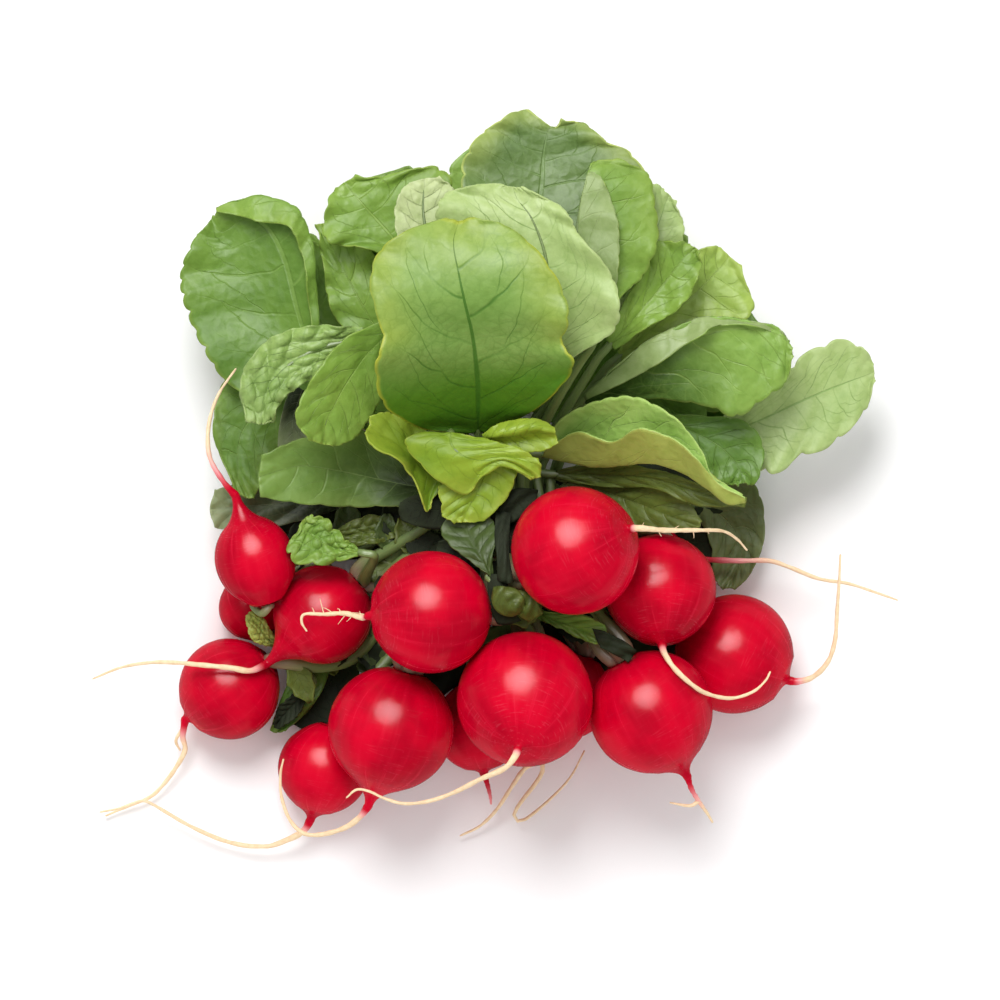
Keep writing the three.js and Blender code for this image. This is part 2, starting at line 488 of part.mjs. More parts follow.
    wave: 0.8, waves: 4 },
  { of: 2, over: true, look: "pale", rows: 6, across: 4, wave: 1.0, waves: 3, direct: true, curves: [
    [[358, 556, 36], [334, 563, 36], [305, 566, 36], [287, 556, 36], [293, 536, 35]],
    [[358, 552, 36], [338, 548, 35], [320, 542, 35], [308, 532, 34], [302, 520, 34]],
    [[358, 548, 36], [346, 538, 36], [336, 527, 35], [327, 518, 35], [312, 515, 34]]] },
  { of: 2, level: 5, look: "plain", rows: 8, across: 6, wave: 0.8, waves: 3, curves: [
    [[430, 493, 8.8], [416, 507, 13], [385, 507, 6], [345, 507, 1], [300, 504], [257, 496]],
    [[431, 488, 8.6], [398, 484, 5], [344, 472, 1], [300, 466], [256, 478]],
    [[432, 484, 8.6], [406, 465, 5], [366, 430, 1], [305, 437, 1], [260, 456]]] },
  { of: 2, level: 6, look: "pale", rows: 8, across: 6, wave: 1.4, waves: 6, curves: [
    [[371, 345], [338, 365, 1], [306, 384, 1], [284, 400, 1], [274, 424]],
    [[367, 338], [322, 348], [287, 368], [266, 394], [261, 427]],
    [[363, 328], [318, 326, 1], [272, 338, 1], [242, 378, 1], [247, 424]]] },
  { of: 2, level: 7, look: "plain", rows: 8, across: 6, wave: 0.8, waves: 4, curves: [
    [[393, 340], [388, 378, 1], [372, 416, 1], [352, 440, 1], [330, 446]],
    [[389, 332], [362, 362], [342, 392], [328, 420], [322, 446]],
    [[382, 322], [342, 342, 1], [309, 385, 1], [296, 418, 1], [310, 441]]] },
  // Leaves low on the left.
  { of: 1, over: true, look: "plain", rows: 6, across: 4, wave: 0.5, waves: 3, direct: true,
    via: [[270, 601, 20], [286, 580, 17], [300, 568, 17.5]], curves: [
    [[318, 548, 21], [345, 524, 24], [372, 514, 25], [394, 520, 25]],
    [[318, 552, 21], [350, 535, 24], [376, 530, 24], [398, 529, 24]],
    [[318, 556, 21], [352, 547, 25], [378, 544, 25], [396, 538, 25]]] },
  { of: 1, level: 2.6, look: "dark", rows: 8, across: 6, wave: 0.6, waves: 4, curves: [
    [[324, 392], [296, 425], [274, 455], [262, 482], [252, 500]],
    [[322, 384], [274, 400], [243, 430], [237, 468], [246, 500]],
    [[318, 376], [258, 360], [222, 384], [213, 432], [236, 496]]] },
  { of: 11, level: 1.6, look: "dark", rows: 6, across: 4, wave: 0.5, waves: 3, curves: [
    [[395, 490], [340, 508], [285, 525], [235, 530], [212, 528]],
    [[396, 486], [340, 491], [285, 502], [235, 507], [207, 509]],
    [[397, 482], [340, 474], [285, 476], [235, 484], [213, 490]]] },
  { of: 11, over: true, look: "dark", rows: 5, across: 4, wave: 0.4, waves: 2, direct: true, curves: [
    [[306, 700, 11], [298, 716, 11], [286, 726, 10], [276, 731, 9]],
    [[303, 694, 11], [292, 706, 10], [282, 717, 9], [273, 729, 8]],
    [[299, 690, 11], [286, 699, 11], [276, 710, 10], [271, 725, 9]]] },
  { of: 12, over: true, look: "plain", rows: 4, across: 4, wave: 0.3, waves: 2, direct: true, curves: [
    [[271, 647, 14.5], [259, 645, 18.5], [250, 639, 20.5], [246, 627, 20.5], [245, 615, 20.5]],
    [[274, 644, 14.5], [265, 638, 17.5], [258, 630, 19], [253, 621, 20], [248, 612, 20]],
    [[277, 641, 14.5], [271, 632, 17.5], [266, 623, 19], [260, 616, 19.8], [252, 611, 20]]] },
  { of: 12, level: 0, sweep: { angle: 131, from: 24, to: 86, half: 18 }, look: "dark", rows: 6, across: 4,
    wave: 0.5, waves: 4 },
  // Leaves hidden under the rest.
  { of: 13, level: 0.7, sweep: { angle: 107, from: 26, to: 86, half: 18 }, look: "dark", rows: 6, across: 4,
    wave: 0.5, waves: 4 },
  { of: 13, level: 1.6, sweep: { angle: 86, from: 28, to: 92, half: 18 }, look: "dark", rows: 6, across: 4,
    wave: 0.6, waves: 4 },
  { of: 6, level: 4, sweep: { angle: 80, from: 28, to: 94, half: 18 }, look: "dark", rows: 6, across: 4,
    wave: 0.8, waves: 4 },
  { of: 6, level: 3.3, sweep: { angle: 58, from: 26, to: 82, half: 17 }, look: "dark", rows: 6, across: 4,
    wave: 0.8, waves: 4 },
  { of: 15, level: 2.1, sweep: { angle: 37, from: 26, to: 80, half: 16 }, look: "dark", rows: 6, across: 4,
    wave: 0.6, waves: 4 },
];

// Curves of a plain round-ended blade that points away from the tie at an angle.
function sweepCurves({ angle, from, to, half }) {
  const turn = THREE.MathUtils.degToRad(angle);
  const row = (side) => SWEEP_SHAPE.map((width, i) => {
    const out = lerp(from, to, i / (SWEEP_SHAPE.length - 1)) / PLAN_SQUARE;
    const off = (side * half * width) / PLAN_SQUARE;
    const [c, s] = [Math.cos(turn), Math.sin(turn)];
    return [TIE.x + out * c + off * s, TIE.y - out * s + off * c];
  });
  return [row(-1), row(0), row(1)];
}

function bladePoint(leaf, curves, u, t) {
  const across = curves.map((curve) => along(curve.map(([x, y, h = 0]) => [x, y, h]), t));
  const [x, y, h] = along(across, u);
  const edge = (2 * u - 1) ** 2;
  const wave = leaf.wave * edge * Math.sin(2 * Math.PI * leaf.waves * t + EDGE_LAG * u);
  const px = planX(x);
  const py = planY(y);
  const base = leaf.over ? 0 : fanHeight(leaf.level, px, py);
  return new THREE.Vector3(px, py, Math.max(base + h + wave, BLADE_THICKNESS / 2 + BLADE_CLEAR));
}

// How far to each side of a point the blade's slope is measured, as a share of the blade.
const NORMAL_STEP = 0.01;

function bladeNormal(leaf, curves, u, t) {
  const step = NORMAL_STEP;
  const sideways = bladePoint(leaf, curves, Math.min(u + step, 1), t)
    .sub(bladePoint(leaf, curves, Math.max(u - step, 0), t));
  const forward = bladePoint(leaf, curves, u, Math.min(t + step, 1))
    .sub(bladePoint(leaf, curves, u, Math.max(t - step, 0)));
  return sideways.cross(forward).normalize();
}

// Where stalk `index` of `count` runs beside the middle of its bundle.
function stalkOffset(index, count) {
  const spread = STALK_SPREAD[count];
  const angle = (2 * Math.PI * index) / count + Math.PI / 2;
  return [spread * Math.cos(angle), spread * Math.sin(angle)];
}

function stalkPath(leaf, curves, index, count) {
  const spec = RADISHES[leaf.of];
  const { crown, axis } = radishFrame(spec);
  const [right, up] = stalkOffset(index, count);
  const shift = (point, heading) => {
    const side = new THREE.Vector3(heading.y, -heading.x, 0).normalize();
    return point.clone().addScaledVector(side, right).add(new THREE.Vector3(0, 0, up));
  };
  const start = crown.clone().addScaledVector(axis, -GAP);
  const firstHeading = axis.clone().negate();
  const side = new THREE.Vector3(firstHeading.y, -firstHeading.x, 0).normalize();
  const rise = new THREE.Vector3().crossVectors(side, firstHeading);
  start.addScaledVector(side, right).addScaledVector(rise, up);
  const path = [start, start.clone().addScaledVector(firstHeading, CROWN_LEAD)];
  const tip = bladePoint(leaf, curves, 0.5, 0);
  const ahead = bladePoint(leaf, curves, 0.5, 0.06).sub(tip).normalize();
  if (!leaf.direct) {
    const tie = new THREE.Vector3(planX(TIE.x) + spec.slot[0], planY(TIE.y), TIE.z + spec.slot[1]);
    const stops = spec.stalks.map(place);
    stops.push(tie.clone().add(new THREE.Vector3(0, -SLOT_HALF_LENGTH, 0)));
    stops.forEach((stop, i) => {
      const next = stops[i + 1] ?? tie;
      const last = stops[i - 1] ?? crown;
      path.push(shift(stop, next.clone().sub(last)));
    });
    const onward = new THREE.Vector3(0, 1, 0);
    const exit = shift(tie.clone().addScaledVector(onward, SLOT_HALF_LENGTH), onward);
    path.push(exit);
    if (!leaf.turn && tip.distanceTo(exit) > LONG_WAY) {
      for (const part of LONG_WAY_STOPS) {
        const stop = exit.clone().lerp(tip, part);
        path.push(leaf.over ? stop : stop.setZ(fanHeight(leaf.level, stop.x, stop.y)));
      }
    }
  }
  path.push(...(leaf.via ?? []).map(place));
  if (leaf.turn) {
    path.push(...TURN_LEAD.map((lead) => tip.clone().add(new THREE.Vector3(...lead))));
  } else {
    path.push(...BLADE_LEAD.map((lead) => tip.clone().addScaledVector(ahead, -lead)));
  }
  return path;
}

// Points along a stalk. The first two and the last two stay where they are.
function stalkPoints(path) {
  const curve = new THREE.CatmullRomCurve3(path.slice(1, -1), false, "centripetal");
  const steps = Math.max(1, Math.round(curve.getLength() / COMB.step));
  return [path[0], ...curve.getSpacedPoints(steps), path.at(-1)];
}

// How far along the line from a to b the point nearest to c lies, from 0 to 1.
function nearestPart(a, b, c) {
  const way = b.clone().sub(a);
  return Math.min(Math.max(c.clone().sub(a).dot(way) / way.lengthSq(), 0), 1);
}

function moveSegment(points, i, part, push) {
  const last = points.length - 3;
  if (i >= 2 && i <= last) {
    points[i].addScaledVector(push, 1 - part);
  }
  if (i + 1 >= 2 && i + 1 <= last) {
    points[i + 1].addScaledVector(push, part);
  }
}

// Pushes two straight stretches of stalk apart where they lie too close.
function separate(one, i, other, j) {
  const [a, b, c, d] = [one[i], one[i + 1], other[j], other[j + 1]];
  let s = 0.5;
  let t = nearestPart(c, d, a.clone().lerp(b, s));
  for (let k = 0; k < 3; k += 1) {
    s = nearestPart(a, b, c.clone().lerp(d, t));
    t = nearestPart(c, d, a.clone().lerp(b, s));
  }
  const way = c.clone().lerp(d, t).sub(a.clone().lerp(b, s));
  const deficit = 2 * STALK_RADIUS + COMB.gap - way.length();
  if (deficit > 0) {
    way.setLength(deficit * COMB.push);
    moveSegment(one, i, s, way.clone().negate());
    moveSegment(other, j, t, way);
  }
}

function clearOfRadishes(points, i, balls) {
  for (const { centre, reach } of balls) {
    const part = nearestPart(points[i], points[i + 1], centre);
    const way = points[i].clone().lerp(points[i + 1], part).sub(centre);
    const deficit = reach - way.length();
    if (deficit > 0) {
      moveSegment(points, i, part, way.setLength(deficit));
    }
  }
}

// Keeps a point of a stalk inside the tie, which widens like a funnel in front of it and behind.
function keepInsideTie(point) {
  const middle = new THREE.Vector3(planX(TIE.x), planY(TIE.y), TIE.z);
  const away = Math.max(Math.abs(point.y - middle.y) - FUNNEL.straight, 0);
  const grow = away * (FUNNEL.slope + FUNNEL.flare * away) - FUNNEL.margin;
  const out = Math.hypot((point.x - middle.x) / (TIE.halfWidth + grow),
    (point.z - middle.z) / (TIE.halfHeight + grow));
  if (away < FUNNEL.reach && out > 1) {
    point.x = middle.x + (point.x - middle.x) / out;
    point.z = middle.z + (point.z - middle.z) / out;
  }
}

// Combs the stalks, so that they lie beside each other, outside the radishes and inside the tie.
function combStalks(stalks) {
  const balls = Object.values(RADISHES).map((spec) => {
    const { centre, radius } = radishFrame(spec);
    return { centre, reach: radius * spec.long + STALK_RADIUS + COMB.gap };
  });
  for (let round = 0; round < COMB.rounds; round += 1) {
    const easing = round < COMB.rounds - COMB.hardRounds;
    stalks.forEach((one, n) => {
      for (const other of stalks.slice(n + 1)) {
        for (let i = 0; i < one.length - 1; i += 1) {
          for (let j = 0; j < other.length - 1; j += 1) {
            if (one[i].distanceTo(other[j]) < COMB.look) {
              separate(one, i, other, j);
            }
          }
        }
      }
    });
    for (const points of stalks) {
      for (let i = 0; i < points.length - 1; i += 1) {
        clearOfRadishes(points, i, balls);
      }
      for (let i = 2; i < points.length - 2; i += 1) {
        const ease = points[i - 1].clone().add(points[i + 1]).multiplyScalar(0.5);
        points[i].lerp(ease, easing ? COMB.ease : 0);
        keepInsideTie(points[i]);
        points[i].z = Math.max(points[i].z, STALK_RADIUS + COMB.gap);
      }
    }
  }
}

function leafGeometry(leaf, curves, stalk) {
  const surface = new Surface();
  const stations = stalk.map((centre) => ({ centre, radius: STALK_RADIUS }));
  stations.at(-1).radius = STALK_TIP_RADIUS;
  const { rings } = sweptRings(surface, stations, STALK_SIDES, new THREE.Vector3(1, 0, 0.01));
  for (let i = 1; i < rings.length; i += 1) {
    surface.join(rings[i - 1], rings[i]);
  }
  surface.close([...rings[0]].reverse(), stations[0].centre);

  const top = [];
  const bottom = [];
  for (let i = 0; i <= leaf.rows; i += 1) {
    const t = (TIP_CUT * i) / leaf.rows;
    top.push([]);
    bottom.push([]);
    for (let k = 0; k <= leaf.across; k += 1) {
      const u = k / leaf.across;
      const point = bladePoint(leaf, curves, u, t);
      const offset = bladeNormal(leaf, curves, u, t).multiplyScalar(BLADE_THICKNESS / 2);
      top[i].push(surface.add(point.clone().add(offset)));
      bottom[i].push(surface.add(point.clone().sub(offset)));
    }
  }
  const quad = (a, b, c, d) => surface.faces.push(a, b, c, a, c, d);
  for (let i = 0; i < leaf.rows; i += 1) {
    for (let k = 0; k < leaf.across; k += 1) {
      quad(top[i][k], top[i][k + 1], top[i + 1][k + 1], top[i + 1][k]);
      const [a, b, c, d] = [bottom[i][k], bottom[i][k + 1], bottom[i + 1][k + 1], bottom[i + 1][k]];
      surface.faces.push(a, c, b, a, d, c);
    }
    const end = leaf.across;
    quad(top[i][end], bottom[i][end], bottom[i + 1][end], top[i + 1][end]);
    quad(bottom[i][0], top[i][0], top[i + 1][0], bottom[i + 1][0]);
  }
  const row = leaf.rows;
  for (let k = 0; k < leaf.across; k += 1) {
    quad(top[row][k], top[row][k + 1], bottom[row][k + 1], bottom[row][k]);
  }
  joinStalk(surface, rings.at(-1), top[0], bottom[0]);
  return surface.geometry();
}

// Joins the last ring of a stalk to the first row of its blade, starting both at their lowest
// left corner.
function joinStalk(surface, ring, topRow, bottomRow) {
  const bladeRing = [...topRow, ...[...bottomRow].reverse()];
  const where = (v) => new THREE.Vector3().fromArray(surface.points, 3 * v);
  const first = where(bladeRing[0]);
  let start = 0;
  ring.forEach((v, i) => {
    if (where(v).distanceTo(first) < where(ring[start]).distanceTo(first)) {
      start = i;
    }
  });
  const turned = ring.map((_, i) => ring[(start + i) % ring.length]);
  surface.join(turned, bladeRing);
}

// ---------------------------------------------------------------- tie

function bandGeometry() {
  const surface = new Surface();
  const middle = new THREE.Vector3(planX(TIE.x), planY(TIE.y), TIE.z);
  const rings = [];
  for (let i = 0; i < TIE.turns; i += 1) {
    const angle = (2 * Math.PI * i) / TIE.turns;
    const corner = (grow, y) => middle.clone().add(new THREE.Vector3(
      (TIE.halfWidth + TIE.ease + grow) * Math.cos(angle), y,
      (TIE.halfHeight + TIE.ease + grow) * Math.sin(angle)));
    const half = TIE.wide / 2;
    rings.push([corner(0, -half), corner(TIE.thick, -half), corner(TIE.thick, half), corner(0, half)]
      .map((point) => surface.add(point)));
  }
  rings.forEach((ring, i) => surface.join(ring, rings[(i + 1) % TIE.turns]));
  return surface.geometry();
}

// ---------------------------------------------------------------- the bunch

const bunch = new THREE.Group();

function addPiece(name, geometry, material) {
  const mesh = new THREE.Mesh(geometry, material);
  mesh.name = name;
  bunch.add(mesh);
}

const leaves = [];
for (const [number, spec] of Object.entries(RADISHES)) {
  addPiece(`radish_${number.padStart(2, "0")}`, radishGeometry(spec), RED);
  const own = LEAVES.filter((leaf) => leaf.of === Number(number));
  own.forEach((leaf, i) => {
    const name = `leaf_${number.padStart(2, "0")}_${"abcde"[i]}`;
    const curves = leaf.curves ?? sweepCurves(leaf.sweep);
    leaves.push({ name, leaf, curves, stalk: stalkPoints(stalkPath(leaf, curves, i, own.length)) });
  });
}
combStalks(leaves.map(({ stalk }) => stalk));
for (const { name, leaf, curves, stalk } of leaves) {
  const green = { pale: PALE_GREEN, plain: GREEN, dark: DARK_GREEN }[leaf.look];
  addPiece(name, leafGeometry(leaf, curves, stalk), green);
}
addPiece("tie_band", bandGeometry(), RUBBER);

// The origin is under the middle of the bunch, on the table.
const box = new THREE.Box3().setFromObject(bunch, true);
const middle = box.getCenter(new THREE.Vector3());
for (const mesh of bunch.children) {
  mesh.geometry.translate(-middle.x, -middle.y, 0);
}

export default bunch;
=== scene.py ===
# %% [markdown]
# # A bunch of radishes
# A bunch of radishes is a heap of grown things: round red roots in front, leaves fanned out
# behind them, and one band round the stalks. Nothing in it is straight or flat, so it is built
# from sheets that are draped over listed curves. The imported frame is loaded first: every
# piece is laid where the frame already holds a plain solid of it.

# %% Load the frame
import math

import bpy
import numpy as np
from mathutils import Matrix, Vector


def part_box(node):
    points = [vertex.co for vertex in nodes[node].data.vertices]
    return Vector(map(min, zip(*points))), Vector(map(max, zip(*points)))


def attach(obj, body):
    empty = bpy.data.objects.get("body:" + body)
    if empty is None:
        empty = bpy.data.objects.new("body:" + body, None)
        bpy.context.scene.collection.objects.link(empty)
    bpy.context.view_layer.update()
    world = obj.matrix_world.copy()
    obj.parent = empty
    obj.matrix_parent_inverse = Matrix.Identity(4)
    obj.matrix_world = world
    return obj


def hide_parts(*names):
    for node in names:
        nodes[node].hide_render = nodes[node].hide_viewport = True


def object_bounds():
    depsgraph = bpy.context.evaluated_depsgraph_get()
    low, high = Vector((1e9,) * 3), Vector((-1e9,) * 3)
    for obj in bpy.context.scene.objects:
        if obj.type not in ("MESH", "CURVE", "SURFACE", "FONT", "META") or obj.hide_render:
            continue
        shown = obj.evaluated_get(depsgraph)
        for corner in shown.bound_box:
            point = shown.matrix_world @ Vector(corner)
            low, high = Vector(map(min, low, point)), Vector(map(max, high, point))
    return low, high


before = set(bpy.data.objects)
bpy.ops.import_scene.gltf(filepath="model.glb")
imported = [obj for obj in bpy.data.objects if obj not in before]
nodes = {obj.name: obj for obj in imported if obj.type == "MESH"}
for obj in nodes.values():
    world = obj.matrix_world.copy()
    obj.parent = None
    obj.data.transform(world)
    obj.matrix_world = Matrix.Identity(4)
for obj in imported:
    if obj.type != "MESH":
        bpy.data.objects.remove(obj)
frame_box = [list(corner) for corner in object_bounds()]
print("frame pieces:", len(nodes))

# %% [markdown]
# ## The plan grid
# Places are noted on a plan grid seen from above: x counts squares to the right, y counts squares
# toward the roots, and heights are in millimetres. One square is 0.24 mm on the real bunch. The
# band sits at a known square, so its box in the frame says where the grid lies.

# %% The plan grid
PLAN_SQUARE = 0.24
PLAN_CENTRE = (495.5, 480.0)
TIE_AT = (488.0, 510.0)
MM = 0.001


def grid_mm(x, y):
    """Millimetres right of and behind the grid's centre."""
    return (np.asarray(x) - PLAN_CENTRE[0]) * PLAN_SQUARE, (PLAN_CENTRE[1] - np.asarray(y)) * PLAN_SQUARE


band_low, band_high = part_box("tie_band")
tie_x, tie_y = grid_mm(*TIE_AT)
shift = np.array([(band_low.x + band_high.x) / 2 / MM - tie_x,
                  (band_low.y + band_high.y) / 2 / MM - tie_y, 0])


def place(point):
    """A grid place [x, y, height] as millimetres in the frame."""
    x, y = grid_mm(point[0], point[1])
    return np.array([x, y, point[2]], float) + shift


print("grid shift in mm:", shift.round(3))

# %% [markdown]
# ## Smooth curves
# A leaf edge or a root is noted as a few points. A Catmull-Rom curve runs through all of them, so
# a point that is moved by hand moves the curve right there and nowhere else.

# %% Smooth curves
def along(rows, t):
    """Points on a smooth curve through rows, at every t from 0 to 1."""
    rows = np.asarray(rows, float)
    t = np.asarray(t, float)
    last = len(rows) - 1
    spot = np.clip(t, 0, 1) * last
    i = np.minimum(np.floor(spot).astype(int), last - 1)
    f = (spot - i).reshape(-1, *[1] * (rows.ndim - 1))
    p1, p2 = rows[i], rows[i + 1]
    first = (i > 0).reshape(f.shape)
    final = (i + 2 <= last).reshape(f.shape)
    p0 = np.where(first, rows[np.maximum(i - 1, 0)], 2 * p1 - p2)
    p3 = np.where(final, rows[np.minimum(i + 2, last)], 2 * p2 - p1)
    return 0.5 * (2 * p1 + (p2 - p0) * f + (2 * p0 - 5 * p1 + 4 * p2 - p3) * f**2
                  + (3 * p1 - p0 - 3 * p2 + p3) * f**3)


print("halfway along a bow:", along([[0, 0, 0], [1, 2, 0], [2, 0, 0]], [0.5]).round(2))


# %% Even steps and soft steps
def run_of(points):
    """How far along a line each of its points lies."""
    return np.concatenate([[0], np.cumsum(np.linalg.norm(np.diff(points, axis=0), axis=1))])


def length_of(points):
    return np.linalg.norm(np.diff(points, axis=0), axis=1).sum()


def even(points, count):
    """The same line with count points at even distances."""
    points = np.asarray(points, float)
    run = run_of(points)
    return np.stack([np.interp(np.linspace(0, run[-1], count), run, points[:, k]) for k in range(3)], 1)


def smoothstep(value, low, high):
    part = np.clip((value - low) / (high - low), 0, 1)
    return part * part * (3 - 2 * part)


def unit(way):
    """The same way with length 1."""
    return way / np.linalg.norm(way)


print("a third of the way, softened:", round(float(smoothstep(1 / 3, 0, 1)), 3))

# %% [markdown]
# ## A sheet from a grid primitive
# Leaves, skins and stalks are all one sheet with rows and columns. Blender's grid primitive makes
# the sheet with its UV map already laid out, and its corners are then moved to their places. That
# keeps u across and v along every piece, which the veins and the blush of the skin follow. All
# corners stay inside the frame's box, so that the finished bunch is no bigger than the frame.

# %% A sheet from a grid primitive
SIDE_MARGIN, FLOOR_MARGIN = 0.0003, 0.0001
ROOM_LOW = np.array(frame_box[0]) + [SIDE_MARGIN, SIDE_MARGIN, FLOOR_MARGIN]
ROOM_HIGH = np.array(frame_box[1]) - SIDE_MARGIN


def sheet(name, points):
    """A grid whose corner in column i and row j is moved to points[i, j], in millimetres."""
    columns, rows = points.shape[:2]
    if bpy.context.object and bpy.context.object.mode != "OBJECT":
        bpy.ops.object.mode_set(mode="OBJECT")
    bpy.ops.object.select_all(action="DESELECT")
    bpy.ops.mesh.primitive_grid_add(x_subdivisions=columns - 1, y_subdivisions=rows - 1, size=1,
                                    calc_uvs=True)
    piece = bpy.context.object
    piece.name = name
    piece.data.name = name
    flat = np.empty(len(piece.data.vertices) * 3)
    piece.data.vertices.foreach_get("co", flat)
    flat = flat.reshape(-1, 3)
    column = np.rint((flat[:, 0] + 0.5) * (columns - 1)).astype(int)
    row = np.rint((flat[:, 1] + 0.5) * (rows - 1)).astype(int)
    corners = np.clip(points[column, row] * MM, ROOM_LOW, ROOM_HIGH)
    piece.data.vertices.foreach_set("co", corners.ravel())
    piece.data.update()
    return piece, row


print("room for the sheets in mm:", (ROOM_LOW / MM).round(1), "to", (ROOM_HIGH / MM).round(1))


# %% Picking, welding, smoothing and joining
WELD_GAP = 2e-6


def pick(pieces):
    """Selects these pieces alone and makes the first one active."""
    bpy.ops.object.select_all(action="DESELECT")
    for piece in pieces:
        piece.select_set(True)
    bpy.context.view_layer.objects.active = pieces[0]


def weld(piece):
    """Merges the corners that lie on each other, such as a tube's seam and its closed ends."""
    pick([piece])
    bpy.ops.object.mode_set(mode="EDIT")
    bpy.ops.mesh.select_all(action="SELECT")
    bpy.ops.mesh.remove_doubles(threshold=WELD_GAP)
    bpy.ops.mesh.normals_make_consistent(inside=False)
    bpy.ops.object.mode_set(mode="OBJECT")


def smooth(piece):
    pick([piece])
    bpy.ops.object.shade_smooth()


def join(pieces):
    """Joins pieces into the first one."""
    if len(pieces) > 1:
        pick(pieces)
        bpy.ops.object.join()
    return pieces[0]


def dress(piece, finishes):
    piece.data.materials.clear()
    for finish in finishes:
        piece.data.materials.append(finish)


print("corners nearer than", WELD_GAP / MM, "mm are welded")

# %% [markdown]
# ## A tube along a line
# Roots and stalks are round. A ring is carried along the line without twisting, by always taking
# the last ring's side direction with it. The two ends shrink to a point, so the tube is closed.

# %% A tube along a line
POINT, END_STEP = 1e-6, 1e-3


def rings(path, radii, sides):
    """Points of rings round a path: shape (sides + 1, rings, 3), the last column on the first."""
    path = np.asarray(path, float)
    ahead = np.gradient(path, axis=0)
    ahead /= np.linalg.norm(ahead, axis=1)[:, None]
    side = np.array([0.1, 0.2, 1.0])
    out = np.empty((sides + 1, len(path), 3))
    turn = np.linspace(0, 2 * np.pi, sides + 1)
    for j in range(len(path)):
        side = side - ahead[j] * side.dot(ahead[j])
        side /= np.linalg.norm(side)
        up = np.cross(ahead[j], side)
        ring = np.cos(turn)[:, None] * side + np.sin(turn)[:, None] * up
        out[:, j] = path[j] + ring * radii[j]
    out[-1] = out[0]
    return out


def tube(name, path, radii, sides):
    """A closed tube, with an end ring of no size set just past each of the line's two ends."""
    path = np.asarray(path, float)
    before = path[:1] - (path[1:2] - path[:1]) * END_STEP
    after = path[-1:] + (path[-1:] - path[-2:-1]) * END_STEP
    points = rings(np.concatenate([before, path, after]),
                   np.concatenate([[POINT], radii, [POINT]]), sides)
    return sheet(name, points)[0]


print("a ring of four:", rings([[0, 0, 0], [0, 0, 1]], [1, 1], 4)[:4, 0].round(1).tolist())

# %% [markdown]
# ## Small words for shader nodes
# A finish is a net of nodes. Wiring them by hand would hide what the finish does under long
# names, so each kind of node that comes back often gets a short word here.

# %% Node helpers
def wire(tree, kind, inputs=None, **settings):
    """Adds a node, sets its options and fills its sockets with values or links."""
    node = tree.nodes.new(kind)
    for key, value in settings.items():
        setattr(node, key, value)
    for key, value in (inputs or {}).items():
        socket = node.inputs[key]
        if isinstance(value, bpy.types.NodeSocket):
            tree.links.new(value, socket)
        else:
            socket.default_value = value
    return node


def sums(tree, operation, a, b=None, clamp=False):
    """A math node's result."""
    values = {0: a} if b is None else {0: a, 1: b}
    return wire(tree, "ShaderNodeMath", values, operation=operation, use_clamp=clamp).outputs[0]


def plus(tree, a, b, clamp=False):
    return sums(tree, "ADD", a, b, clamp)


def minus(tree, a, b):
    return sums(tree, "SUBTRACT", a, b)


def times(tree, a, b):
    return sums(tree, "MULTIPLY", a, b)


def larger(tree, a, b):
    return sums(tree, "MAXIMUM", a, b)


def ramp(tree, value, low, high, to_low=0.0, to_high=1.0):
    """A smooth step of a value."""
    return wire(tree, "ShaderNodeMapRange", {0: value, 1: low, 2: high, 3: to_low, 4: to_high},
                interpolation_type="SMOOTHSTEP").outputs[0]


def mixed(tree, factor, a, b, blend="MIX"):
    """A mix of two colours."""
    return wire(tree, "ShaderNodeMix", {0: factor, 6: a, 7: b}, data_type="RGBA",
                blend_type=blend).outputs[2]


def noise(tree, at, scale, detail):
    inputs = {"Vector": at, "Scale": scale, "Detail": detail}
    return wire(tree, "ShaderNodeTexNoise", inputs).outputs[0]


def cracks(tree, at, scale):
    """How far a place is from the border of its cell, where cells tile the space."""
    return wire(tree, "ShaderNodeTexVoronoi", {"Vector": at, "Scale": scale},
                feature="DISTANCE_TO_EDGE").outputs[0]


# %% An empty node group
FLOAT, VECTOR = "NodeSocketFloat", "NodeSocketVector"


def group(name, inputs, outputs):
    """An empty node group with its sockets."""
    tree = bpy.data.node_groups.new(name, "ShaderNodeTree")
    for title, kind, default in inputs:
        socket = tree.interface.new_socket(title, in_out="INPUT", socket_type=kind)
        if default is not None:
            socket.default_value = default
    for title, kind in outputs:
        tree.interface.new_socket(title, in_out="OUTPUT", socket_type=kind)
    start = tree.nodes.new("NodeGroupInput")
    end = tree.nodes.new("NodeGroupOutput")
    return tree, start.outputs, end.inputs


print("kinds of socket:", FLOAT, VECTOR)

# %% Colours from hex codes
def paint(code):
    """A colour written as six hex digits, in the linear numbers that the shader takes."""
    parts = [int(code[k:k + 2], 16) / 255 for k in (0, 2, 4)]
    return (*(v / 12.92 if v <= 0.04045 else ((v + 0.055) / 1.055) ** 2.4 for v in parts), 1.0)


print("half grey in linear numbers:", [round(part, 3) for part in paint("808080")])


# %% A new finish
def new_finish(name):
    """A material with its node tree and its shader."""
    finish = bpy.data.materials.new(name)
    finish.use_nodes = True
    tree = finish.node_tree
    return finish, tree, tree.nodes["Principled BSDF"]


def in_space(tree):
    """Where a point of a finished piece lies, which no turn or move of the camera changes."""
    return wire(tree, "ShaderNodeTexCoord").outputs["Object"]


def on_sheet(tree):
    """Where a point lies on its sheet: across and along, both from 0 to 1."""
    return wire(tree, "ShaderNodeUVMap", uv_map="UVMap").outputs[0]


def raise_by(tree, shader, height, strength, distance):
    """Lets a height bend the way the surface faces."""
    bump = wire(tree, "ShaderNodeBump", {"Strength": strength, "Distance": distance, "Height": height})
    tree.links.new(bump.outputs[0], shader.inputs["Normal"])


